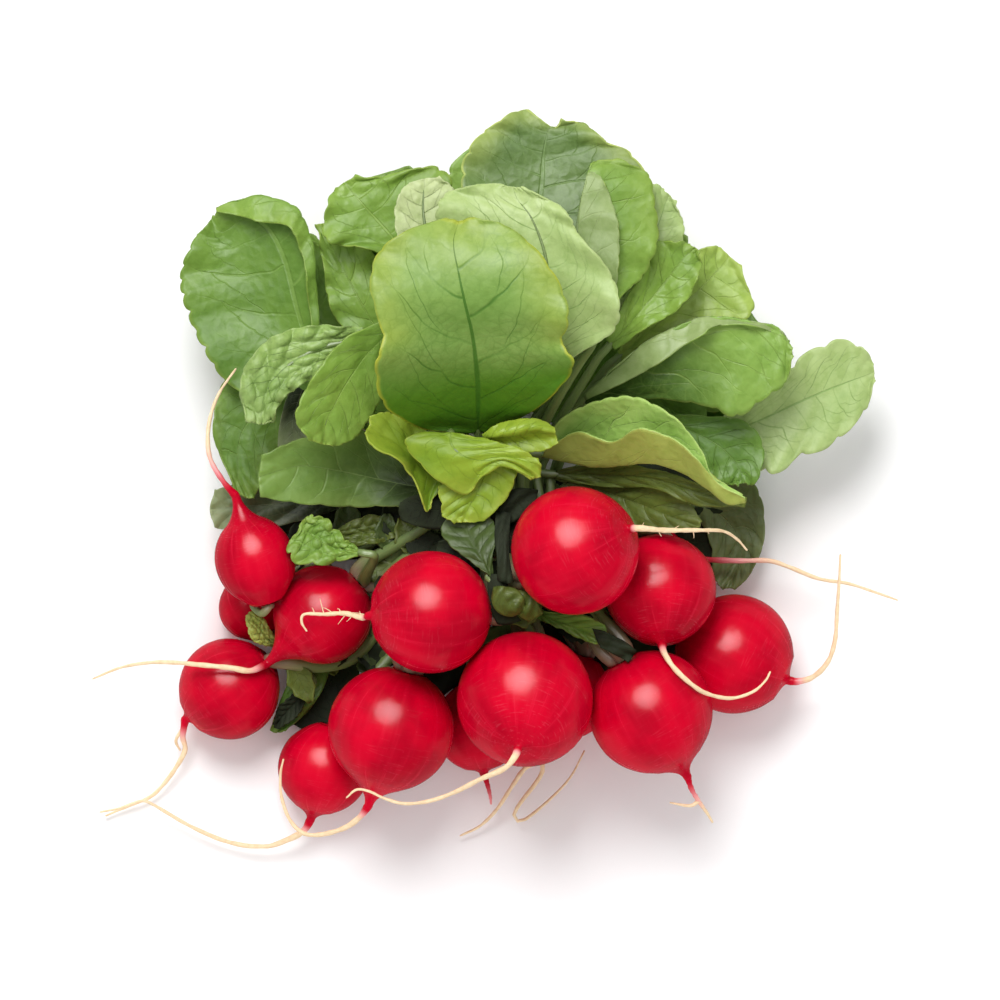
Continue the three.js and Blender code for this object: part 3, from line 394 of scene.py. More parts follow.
# %% [markdown]
# ## The leaf's pattern
# Every green shares one node group. It draws a midrib, side veins that bow toward the tip, the
# fine net between them and the yellowing rim, and it reads the sheet's own UV map. It puts out
# masks and heights only, and the colours stay in each material. A dozen greens then differ only
# in their colours and in how many side veins they have, which a painted picture could not do.

# %% The midrib and the side veins
SIDE_SHIFT = 0.43
FORK_FROM, FORK_LAG = 0.32, 0.45

veins, vein_in, vein_out = group(
    "leaf_veins",
    [("UV", VECTOR, None), ("Place", VECTOR, None), ("Side veins", FLOAT, 6.0), ("Bow", FLOAT, 0.2)],
    [("Vein", FLOAT), ("Net", FLOAT), ("Rim", FLOAT), ("Mottle", FLOAT), ("Height", FLOAT)])
leaf_at = vein_in["Place"]
split = wire(veins, "ShaderNodeSeparateXYZ", {0: vein_in["UV"]})
across = minus(veins, times(veins, split.outputs[0], 2.0), 1.0)
away = sums(veins, "ABSOLUTE", across)
tipward = split.outputs[1]
wobble = minus(veins, noise(veins, leaf_at, 55.0, 2.0), 0.5)
rib_width = ramp(veins, tipward, 0.0, 1.0, 0.038, 0.007)
rib = minus(veins, 1.0, ramp(veins, sums(veins, "DIVIDE", away, rib_width), 0.5, 1.1))


def from_vein(start):
    """How far off the nearest side vein a place is, if the veins are counted along start."""
    count = plus(veins, times(veins, start, vein_in["Side veins"]), left)
    return sums(veins, "ABSOLUTE", minus(veins, sums(veins, "FRACT", count), 0.5))


bow = times(veins, vein_in["Bow"], sums(veins, "POWER", away, 1.3))
start = minus(veins, plus(veins, tipward, times(veins, wobble, 0.16)), bow)
left = times(veins, sums(veins, "GREATER_THAN", across, 0.0), SIDE_SHIFT)
side_vein = ramp(veins, from_vein(start), 0.0, ramp(veins, away, 0.0, 1.0, 0.055, 0.022), 1.0, 0.0)
side_vein = times(veins, side_vein, ramp(veins, away, 0.6, 0.97, 1.0, 0.1))
faint = noise(veins, leaf_at, 75.0, 1.0)
side_vein = times(veins, side_vein, ramp(veins, faint, 0.38, 0.6, 0.35, 1.0))
print("midrib and side veins:", len(veins.nodes), "nodes")

# %% Forks of the side veins
past_fork = larger(veins, minus(veins, away, FORK_FROM), 0.0)
fork_start = minus(veins, start, times(veins, past_fork, FORK_LAG))
fork = ramp(veins, from_vein(fork_start), 0.0, 0.04, 0.7, 0.0)
fork = times(veins, fork, ramp(veins, away, 0.3, 0.4))
fork = times(veins, fork, ramp(veins, away, 0.55, 0.9, 1.0, 0.0))
near_tip = ramp(veins, tipward, 0.76, 0.9, 1.0, 0.12)
side_vein = times(veins, larger(veins, side_vein, fork), near_tip)
veins.links.new(larger(veins, rib, times(veins, side_vein, 0.85)), vein_out["Vein"])
print("with their forks:", len(veins.nodes), "nodes")

# %% The net, the rim and the mottling
cells = cracks(veins, leaf_at, 330.0)
fine_cells = cracks(veins, leaf_at, 800.0)
coarse_net = ramp(veins, cells, 0.0, 0.10, 0.8, 0.0)
net = plus(veins, coarse_net, ramp(veins, fine_cells, 0.0, 0.14, 0.45, 0.0), clamp=True)
net = times(veins, net, ramp(veins, wobble, -0.12, 0.12, 0.4, 1.0))
veins.links.new(net, vein_out["Net"])
rim = larger(veins, ramp(veins, away, 0.955, 1.0), ramp(veins, tipward, 0.965, 0.99))
glow = larger(veins, ramp(veins, away, 0.45, 1.0, 0.0, 0.5), ramp(veins, tipward, 0.7, 1.0, 0.0, 0.5))
glow = times(veins, glow, ramp(veins, tipward, 0.3, 0.6))
veins.links.new(larger(veins, rim, glow), vein_out["Rim"])
veins.links.new(noise(veins, leaf_at, 40.0, 3.0), vein_out["Mottle"])
print("with the net and the rim:", len(veins.nodes), "nodes")

# %% Heights of the pattern
dome = times(veins, ramp(veins, cells, 0.0, 0.5), 0.4)
crinkle = times(veins, noise(veins, leaf_at, 210.0, 4.0), 1.1)
skin_height = times(veins, plus(veins, dome, crinkle), 0.7)
sunk = times(veins, larger(veins, rib, side_vein), 0.35)
veins.links.new(minus(veins, skin_height, sunk), vein_out["Height"])
print("the whole pattern:", len(veins.nodes), "nodes")


# %% A leaf finish
def leaf_finish(name, light, deep, rim, vein, vein_share=0.4, net_share=0.14, rim_share=0.5,
                base=None, base_start=0.06, base_reach=0.3, rough=0.5, side_veins=6.0, relief=0.0005,
                bow=0.2):
    """One green. light and deep are the two ends of its mottling, base the colour near the stalk."""
    finish, tree, shader = new_finish(name)
    where, uv = in_space(tree), on_sheet(tree)
    inputs = {"UV": uv, "Place": where, "Side veins": side_veins, "Bow": bow}
    pattern = wire(tree, "ShaderNodeGroup", inputs, node_tree=veins)
    mottle = pattern.outputs["Mottle"]
    colour = mixed(tree, ramp(tree, mottle, 0.2, 0.8), paint(light), paint(deep))
    if base is not None:
        lengthways = wire(tree, "ShaderNodeSeparateXYZ", {0: uv}).outputs[1]
        near_stalk = ramp(tree, lengthways, base_start, base_reach, 1.0, 0.0)
        colour = mixed(tree, near_stalk, colour, paint(base))
    colour = mixed(tree, times(tree, pattern.outputs["Net"], net_share), colour, paint(vein))
    colour = mixed(tree, times(tree, pattern.outputs["Vein"], vein_share), colour, paint(vein))
    edge = times(tree, pattern.outputs["Rim"], ramp(tree, mottle, 0.35, 0.6, 0.3, 1.0))
    colour = mixed(tree, times(tree, edge, rim_share), colour, paint(rim))
    speck = ramp(tree, noise(tree, where, 380.0, 6.0), 0.42, 0.66)
    colour = mixed(tree, speck, colour, (0.88, 0.91, 0.82, 1), "MULTIPLY")
    tree.links.new(colour, shader.inputs["Base Color"])
    raise_by(tree, shader, pattern.outputs["Height"], 0.9, relief)
    dull = ramp(tree, mottle, 0.3, 0.7, rough - 0.06, rough + 0.08)
    tree.links.new(dull, shader.inputs["Roughness"])
    shader.inputs["Specular IOR Level"].default_value = 0.17
    return finish


# %% [markdown]
# ## The greens
# No two leaves in a bunch are the same green. Young ones are yellowish and the undersides are pale
# and chalky. What lies deep in the heap gets painted shade: greens that are nearly black. Each green
# is the same finish with its own colours, and a few of them have darker stalk ends, more side veins
# or a stronger rim; the darker stalk ends of lime, dusk and moth are painted shade.

# %% Greens
GREENS = {
    # light and deep: the mottling; rim: the edge; vein: the veins; then options of the finish
    # lime's darker base is painted shade of the top leaf's cupped stalk end
    "lime": dict(light="84a052", deep="6c903e", rim="b2b430", vein="3a6a18", vein_share=0.85, net_share=0.28,
                 rim_share=0.85, base="4e7e18", base_start=0.24, base_reach=0.46, side_veins=5.5, bow=0.27,
                 relief=0.0003),
    "mist": dict(light="a9bc7b", deep="98b069", rim="b2c082", vein="76974e", vein_share=0.65, net_share=0.2,
                 side_veins=9.0, bow=0.3, relief=0.0003),
    "quilt": dict(light="93ae60", deep="7b984e", rim="a3b474", vein="638440", vein_share=0.4, net_share=0.3,
                  side_veins=9.0, relief=0.0006),
    "cream": dict(light="b9c48f", deep="a7b57d", rim="bec896", vein="8fa468"),
    "chalk": dict(light="8fa266", deep="7b9052", rim="9aaa74", vein="a6b582", relief=0.0003),
    "sage": dict(light="a4c266", deep="8ab050", rim="b6c874", vein="aec07a"),
    "spring": dict(light="9cb353", deep="86a446", rim="b2be5c", vein="a6bd66"),
    "fresh": dict(light="80a040", deep="628633", rim="9dae4c", vein="8ea951"),
    "deep": dict(light="86a84c", deep="668c38", rim="a0b052", vein="94ae58", base="35521c", base_start=0.08,
                 base_reach=0.55),
    "fern": dict(light="668a36", deep="4f7428", rim="86a04a", vein="7a9a4c"),
    "moss": dict(light="6e9038", deep="537828", rim="93a74e", vein="84a252"),
    "blue": dict(light="668040", deep="4e6a32", rim="b6c468", vein="7b965a", net_share=0.2, rim_share=0.9),
    "yellow": dict(light="94ab32", deep="688a16", rim="bac24e", vein="5f8018", rim_share=0.65, relief=0.0003),
    "hay": dict(light="a2ad52", deep="8b9844", rim="adae54", vein="a3a35c", relief=0.0003),
    "olive": dict(light="5d6c2a", deep="48541c", rim="7c8438", vein="727f3e"),
    # dusk's dark base is painted shade: the half of the leaf that lies in shade
    "dusk": dict(light="70903f", deep="5c7c34", rim="8f9d57", vein="839a58", base="36471a", base_start=0.2,
                 base_reach=0.7, relief=0.0003),
    # moth's near-black base is painted shade where the leaf runs in under the others
    "moth": dict(light="a0ab7c", deep="8c9b66", rim="a8b284", vein="8f9b74", base="27321a", base_start=0.3,
                 base_reach=1.5),
    "slate": dict(light="6b7746", deep="525f34", rim="7c8850", vein="76824e"),
    # painted shade: a dark green for leaves and leaflets that lie in shade between the others
    "shade": dict(light="4b5c2b", deep="384a1e", rim="5f7038", vein="5c6c3c"),
    # painted shade: a near-black green for sheets and a leaf that fill the dark gaps deep in the heap
    "painted_shade": dict(light="222c13", deep="181f0d", rim="2e391a", vein="2b3519", rough=0.85),
}
LEAF_FINISH = {look: leaf_finish("leaf_" + look, **spec) for look, spec in GREENS.items()}
print("greens:", list(LEAF_FINISH))


# %% [markdown]
# ## Streaks
# Stalks and skins both have streaks. On a stalk they run along it, on a radish from the crown to
# the root, and the radish has scars that run round it. One node group draws them all: it draws
# out the sheet's own UV places and lays a noise on them, so the streaks follow every bend. Each
# finish says how often they repeat across and along.

# %% Streaks
streaks, streak_in, streak_out = group(
    "streaks",
    [("UV", VECTOR, None), ("Across", FLOAT, 30.0), ("Lengthways", FLOAT, 6.0), ("Detail", FLOAT, 3.0)],
    [("Streak", FLOAT)])
parts = wire(streaks, "ShaderNodeSeparateXYZ", {0: streak_in["UV"]})
drawn_out = wire(streaks, "ShaderNodeCombineXYZ", {
    0: times(streaks, parts.outputs[0], streak_in["Across"]),
    1: times(streaks, parts.outputs[1], streak_in["Lengthways"])}).outputs[0]
streaks.links.new(noise(streaks, drawn_out, 1.0, streak_in["Detail"]), streak_out["Streak"])


def streaked(tree, uv, across, lengthways, detail):
    """The streaks placed in a finish."""
    inputs = {"UV": uv, "Across": across, "Lengthways": lengthways, "Detail": detail}
    return wire(tree, "ShaderNodeGroup", inputs, node_tree=streaks).outputs[0]


print("streaks:", len(streaks.nodes), "nodes")

# %% [markdown]
# ## The stalk
# A stalk is a paler, more yellow green than its leaf, streaked along its length and flushed with
# pink where it leaves the radish. It is duller than the skin of the root.

# %% The stalk's green
def stalk_finish():
    finish, tree, shader = new_finish("leaf_stalk")
    uv = on_sheet(tree)
    lengthways = wire(tree, "ShaderNodeSeparateXYZ", {0: uv}).outputs[1]
    streak = streaked(tree, uv, 30.0, 6.0, 3.0)
    colour = mixed(tree, streak, paint("7f9452"), paint("596f34"))
    colour = mixed(tree, ramp(tree, lengthways, 0.0, 0.12, 0.45, 0.0), colour, paint("b5627a"))
    tree.links.new(colour, shader.inputs["Base Color"])
    raise_by(tree, shader, streak, 0.6, 0.0002)
    tree.links.new(ramp(tree, streak, 0.2, 0.8, 0.4, 0.55), shader.inputs["Roughness"])
    return finish


STALK = stalk_finish()
print("stalk finish:", STALK.name)

# %% [markdown]
# ## The radish skin
# A radish is glossy and crimson, with faint streaks from crown to root, short pale scars that run
# round it and gather toward the root, pale pores, and a root that turns from pink to cream. How
# far along the root a point lies is kept in an attribute of the mesh, because every root has its
# own length.

# %% The skin finish
def skin_finish():
    finish, tree, shader = new_finish("radish_skin")
    where, uv = in_space(tree), on_sheet(tree)
    root = wire(tree, "ShaderNodeAttribute", attribute_name="root_run").outputs["Fac"]
    lengthways = wire(tree, "ShaderNodeSeparateXYZ", {0: uv}).outputs[1]
    streak = streaked(tree, uv, 46.0, 5.0, 4.0)
    cloud = noise(tree, where, 70.0, 3.0)
    grain = noise(tree, where, 900.0, 2.0)
    red = mixed(tree, ramp(tree, cloud, 0.35, 0.7), paint("cc0026"), paint("a8001e"))
    red = mixed(tree, ramp(tree, streak, 0.45, 0.85, 0.0, 0.4), red, paint("de1038"))
    scar = ramp(tree, streaked(tree, uv, 16.0, 230.0, 2.0), 0.56, 0.72)
    scar = times(tree, scar, ramp(tree, lengthways, 0.05, 0.36, 0.15, 1.0))
    red = mixed(tree, times(tree, scar, 0.1), red, paint("ec7088"))
    pores = wire(tree, "ShaderNodeTexVoronoi", {"Vector": where, "Scale": 420.0}, feature="F1")
    red = mixed(tree, ramp(tree, pores.outputs[0], 0.0, 0.12, 0.2, 0.0), red, paint("e04060"))
    cream = mixed(tree, grain, paint("f6e2bf"), paint("dcb98c"))
    cream = mixed(tree, ramp(tree, streak, 0.5, 0.75, 0.0, 0.5), cream, paint("f3c9a4"))
    pink = mixed(tree, streak, paint("e0708a"), paint("efb0a4"))
    colour = mixed(tree, ramp(tree, root, 0.05, 0.32), red, pink)
    uneven = plus(tree, root, times(tree, streak, 0.2))
    colour = mixed(tree, ramp(tree, uneven, 0.3, 0.65), colour, cream)
    tree.links.new(colour, shader.inputs["Base Color"])
    height = plus(tree, times(tree, cloud, 0.8), times(tree, grain, 0.035))
    raise_by(tree, shader, height, 0.28, 0.0012)
    dull = plus(tree, ramp(tree, root, 0.1, 0.6, 0.2, 0.6), ramp(tree, streak, 0.35, 0.7, 0.0, 0.08))
    dull = plus(tree, dull, times(tree, scar, 0.05))
    tree.links.new(dull, shader.inputs["Roughness"])
    shader.inputs["Specular IOR Level"].default_value = 0.12
    return finish


SKIN = skin_finish()
print("skin finish:", SKIN.name)

# %% [markdown]
# ## The radishes
# Each radish is one grown thing, so skin and root are one sheet: rings that swell from the crown
# to the belly, draw in at the tail and go on as the thin root. Side roots and hairs are fine tubes
# that start inside the root.

# %% Where the radishes lie
# at: the middle; radius in squares; points: the way its root points; long: its length over its
# width; tail: how far its tail cone reaches, in radii; blush: over how many millimetres the root
# turns pale; root and branch: routes on the grid; hairs: where on the root each sits, and its
# length.
RADISHES = {
    1: dict(at=[255, 560, 29], radius=40, long=1.15, points=[-0.28, 0.93, 0.2], tail=1.5, blush=30,
        root=[[224, 482, 34], [211, 460, 33], [208, 438, 32], [211, 415, 31], [220, 392, 31.5],
              [236, 369, 32.5]]),
    2: dict(at=[322, 615, 20], radius=50, long=1, points=[-0.75, -0.66, 0.03], tail=1.5, blush=12,
        root=[[250, 671, 24], [230, 668, 25.5], [200, 665, 25.3], [175, 663, 22], [150, 663, 19],
              [120, 668, 14], [90, 680, 9]]),
    3: dict(at=[431, 612, 44.5], radius=61, long=1, points=[-0.97, -0.05, 0.2], tail=1.03, blush=5,
        hairs=[(0.02, 6.5), (0.15, 2.2), (0.25, 2.8), (0.33, 2.4), (0.4, 3), (0.5, 2.6), (0.6, 3.4),
               (0.7, 2.8)],
        root=[[362, 617, 44.5], [345, 613, 41.5], [325, 614, 38], [305, 614, 36], [302, 622, 35.5],
              [307, 631, 35]]),
    4: dict(at=[575, 550, 50], radius=64, long=1, points=[0.83, 0.33, 0.45], tail=1.03, blush=4,
        hairs=[(0.1, 1.8), (0.22, 2.2), (0.35, 1.8), (0.5, 2), (0.62, 1.6)],
        root=[[640, 528, 59], [665, 530, 56], [700, 530, 52], [722, 531, 49], [736, 539, 47],
              [746, 550, 45]]),
    5: dict(at=[660, 590, 31.6], radius=56, long=1, points=[0.03, -0.93, 0.36], tail=1.05, blush=9,
        root=[[664, 653, 40.5], [674, 668, 42], [690, 683, 42], [706, 693, 39], [730, 698, 35],
              [752, 692, 33], [765, 681, 32], [770, 672, 31.5]]),
    6: dict(at=[735, 655, 14.05], radius=60, long=1, points=[0.9, -0.43, 0.05], tail=1.02, blush=8,
        root=[[800, 682, 15], [815, 677, 16], [829, 662, 18], [836, 640, 19], [838, 610, 20],
              [840, 580, 21], [841, 555, 22]]),
    7: dict(at=[651, 712, 30.8], radius=62, long=1, points=[0.49, -0.87, -0.1], tail=1.2, blush=20,
        root=[[692, 790, 28], [700, 803, 26], [707, 813, 24], [713, 823, 22]],
        branch=[[699, 801, 26.3], [690, 806, 26], [670, 803, 25]]),
    8: dict(at=[525, 699, 40.4], radius=68, long=1, points=[-0.1, -0.69, 0.71], tail=1.03, blush=5,
        root=[[514, 756, 55], [504, 767, 54], [480, 778, 50], [455, 791, 45], [430, 800, 42],
              [405, 803, 38.5], [385, 798, 37.5], [370, 791, 37.5], [357, 789, 37.5], [347, 797, 36]]),
    9: dict(at=[391, 729, 29.8], radius=63, long=1, points=[-0.28, -0.95, -0.12], tail=1.28, blush=7,
        root=[[360, 817, 26.5], [345, 828, 25], [322, 835, 22], [303, 834, 20.5], [289, 820, 20],
              [281, 797, 21], [280, 775, 22.5], [283, 760, 24]]),
    10: dict(at=[323, 770, 10.7], radius=46, long=1, points=[-0.25, -0.96, -0.1], tail=1.15, blush=7,
        root=[[303, 832, 8], [288, 841, 6], [262, 849, 4.5], [226, 844, 4], [188, 828, 4.4],
              [150, 806, 5.2], [138, 803, 5.2], [118, 810, 4.5], [98, 814, 4]]),
    11: dict(at=[228, 690, 11.8], radius=51, long=1, points=[-0.8, -0.55, -0.2], tail=1.08, blush=12,
        root=[[181, 738, 7], [183, 752, 5.5], [172, 772, 4], [158, 790, 3], [146, 800, 2.3],
              [124, 809, 1.7], [103, 818, 1.3]],
        branch=[[181, 730, 7.6], [174, 742, 6], [178, 752, 4.5]]),
    12: dict(at=[250, 608, 7.7], radius=33, long=1, points=[-0.55, 0.83, -0.05], tail=1.1,
        root=[[229, 568, 6.5], [235, 550, 5], [246, 525, 4], [254, 508, 3]]),
    13: dict(at=[478, 728, 10.4], radius=45, long=1, points=[0.12, -0.98, -0.05], tail=1.05, blush=30,
        root=[[487, 785, 9], [490, 797, 8], [491, 806, 7]]),
    14: dict(at=[567, 696, 10.25], radius=45, long=1, points=[-0.35, -0.93, -0.05], tail=1.05,
        root=[[540, 760, 9], [525, 770, 8.5], [512, 788, 7], [497, 811, 5], [480, 828, 3.5],
              [460, 838, 2.5]],
        branch=[[541, 758, 9], [543, 772, 8], [535, 786, 7], [521, 804, 6], [514, 817, 5], [522, 823, 4.6],
                [546, 805, 5], [570, 780, 6], [585, 752, 7]]),
    15: dict(at=[648, 562, 9.2], radius=40, long=1, points=[1, 0.03, 0.1], tail=1.1, blush=42,
        root=[[705, 560, 11.5], [740, 561, 13.5], [770, 561, 14], [792, 568, 13], [820, 579, 11],
              [850, 584, 9], [875, 592, 7], [901, 601, 5]]),
}
print("radishes:", len(RADISHES), "and side roots:", sum("branch" in spec for spec in RADISHES.values()))

# %% Sizes of a radish
CROWN_AT, CROWN_RADIUS = -0.97, 3.8
PROFILE = [[-0.8, 0.6], [-0.5, 0.87], [-0.15, 0.99], [0.2, 0.98], [0.5, 0.86], [0.75, 0.65], [0.92, 0.4]]
BODY_RINGS, NECK_RINGS, ROOT_RINGS, SKIN_SIDES = 48, 10, 70, 48
ROOT_START, ROOT_BODY, ROOT_TIP = 1.05, 0.71, 0.22
LEAD_STEPS = 300
BLUSH = 14.0
LEAST_RADIUS, LEAST_HEIGHT = 0.3, 0.02


def radish_size(spec):
    """A radish's middle, radius, half length and the way its root points, in millimetres."""
    size = spec["radius"] * PLAN_SQUARE
    return place(spec["at"]), size, size * spec["long"], unit(np.array(spec["points"], float))


print("biggest radish:", 2 * max(radish_size(spec)[1] for spec in RADISHES.values()), "mm across")


# %% The outline of a radish
def radish_rings(number, spec):
    """The middles and radii of a radish's rings, and the points of its root."""
    middle, size, reach, axis = radish_size(spec)
    tail = spec["tail"]
    neck_from, neck_radius = PROFILE[-1]
    body = along([[CROWN_AT, CROWN_RADIUS / size], *PROFILE], np.linspace(0, 1, BODY_RINGS - NECK_RINGS))
    draw_in = np.linspace(0, 1, NECK_RINGS + 1)[1:]
    neck = np.stack([neck_from + (tail - neck_from) * draw_in,
                     neck_radius + (ROOT_START / size - neck_radius) * (1 - (1 - draw_in) ** 2.2)], 1)
    body = np.concatenate([body, neck])
    body_path = middle + body[:, :1] * reach * axis
    lead = [middle + axis * reach * tail, *[place(p) for p in spec["root"]]]
    root_path = even(along(lead, np.linspace(0, 1, LEAD_STEPS)), ROOT_RINGS + 1)[1:]
    run = np.linspace(0, 1, ROOT_RINGS)
    wavy = 0.07 * np.sin(run * 34 + number) + 0.06 * np.sin(run * 71 + 2 * number)
    knots = 1 + smoothstep(run, 0, 0.1) * wavy
    taper = ROOT_TIP + (ROOT_BODY - ROOT_TIP) * (1 - run) ** 0.8
    root_radii = (taper + (ROOT_START - ROOT_BODY) * np.exp(-run * 22)) * knots
    path = np.concatenate([body_path, root_path])
    radii = np.concatenate([np.maximum(body[:, 1] * size, LEAST_RADIUS), root_radii])
    path = np.concatenate([path[:1], path, path[-1:] + (path[-1:] - path[-2:-1]) * 0.5])
    path[0] = path[1] + axis * 0.6
    return path, np.concatenate([[POINT], radii, [POINT]]), root_path


print("longest root:", round(max(length_of(radish_rings(*item)[2]) for item in RADISHES.items())), "mm")

# %% Side roots and hairs
STRAND_SIDES = 6
BRANCH_STEPS, BRANCH_RINGS, BRANCH_RADIUS = 100, 24, 0.6
HAIR_RINGS, HAIR_RADII, HAIR_LEAST_HEIGHT = 8, (0.16, 0.07), 0.2


def side_roots(spec, root_path, rng):
    """The branch of a root, where it has one, and the fine hairs on the root."""
    strands = []
    if "branch" in spec:
        route = along([place(p) for p in spec["branch"]], np.linspace(0, 1, BRANCH_STEPS))
        strands.append((even(route, BRANCH_RINGS), np.linspace(BRANCH_RADIUS, ROOT_TIP, BRANCH_RINGS)))
    for start, reach in spec.get("hairs", []):
        i = int(start * (len(root_path) - 1))
        base = root_path[i]
        ahead = root_path[min(i + 1, len(root_path) - 1)] - base
        ahead /= max(np.linalg.norm(ahead), 1e-9)
        side = np.cross(ahead, [0, 0, 1]) * rng.choice([-1, 1]) + ahead * rng.uniform(0.2, 0.8)
        side[2] -= rng.uniform(0.0, 0.5)
        bend = rng.normal(0, 0.25, 3)
        steps = np.linspace(0, 1, HAIR_RINGS)[:, None]
        path = base + unit(side) * reach * steps + bend * reach * steps**2
        path[:, 2] = np.maximum(path[:, 2], HAIR_LEAST_HEIGHT)
        strands.append((path, np.linspace(*HAIR_RADII, HAIR_RINGS)))
    return strands


print("hairs on the roots:", sum(len(spec.get("hairs", [])) for spec in RADISHES.values()))

# %% Radish shapes
DENT = 0.006


def note_root(piece, values):
    """Keeps how far along the root each corner lies."""
    piece.data.attributes.new("root_run", "FLOAT", "POINT")
    piece.data.attributes["root_run"].data.foreach_set("value", values.astype(np.float32))


def radish(number, spec, rng):
    name = f"radish_{number:02d}"
    path, radii, root_path = radish_rings(number, spec)
    turn = np.linspace(0, 2 * np.pi, SKIN_SIDES + 1)
    dents = 1 + DENT * np.sin(3 * turn + number)[:, None]
    points = path[None] + (rings(path, radii, SKIN_SIDES) - path[None]) * dents[..., None]
    points[:, :, 2] = np.maximum(points[:, :, 2], LEAST_HEIGHT)
    piece, row = sheet(name + "_skin", points)
    root_length = length_of(root_path)
    run_mm = np.linspace(0, 1, ROOT_RINGS) * root_length
    run_mm = np.concatenate([[0] * (BODY_RINGS + 1), run_mm, [root_length]])
    note_root(piece, np.clip(run_mm / spec.get("blush", BLUSH), 0, 1)[row])
    strands = [piece]
    for k, (strand_path, strand_radii) in enumerate(side_roots(spec, root_path, rng)):
        thin = tube(f"{name}_strand_{k}", strand_path, strand_radii, STRAND_SIDES)
        note_root(thin, np.ones(len(thin.data.vertices)))
        strands.append(thin)
    piece = join(strands)
    weld(piece)
    smooth(piece)
    dress(piece, [SKIN])
    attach(piece, "root")
    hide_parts(name)
    return piece


rng = np.random.default_rng(7)
for number, spec in RADISHES.items():
    piece = radish(number, spec, rng)
print("radishes:", len(RADISHES), "with", len(piece.data.polygons), "faces in the last one")

# %% [markdown]
# ## Leaf blades
# The blade of each leaf runs through a few curves from its left edge to its right edge, noted on
# the grid. The heights come from the fan: leaf levels lie close together at the band and open
# upward away from it. `over` marks a leaf whose heights are counted from the table. `wave` and
# `waves` are the height and the number of the edge's waves, and `look` says how light the leaf
# is. A leaf that lies under the others has no curves of its own: its `sweep` gives the way it
# points, where it starts and ends and its half width, and its blade is a plain round-ended one.

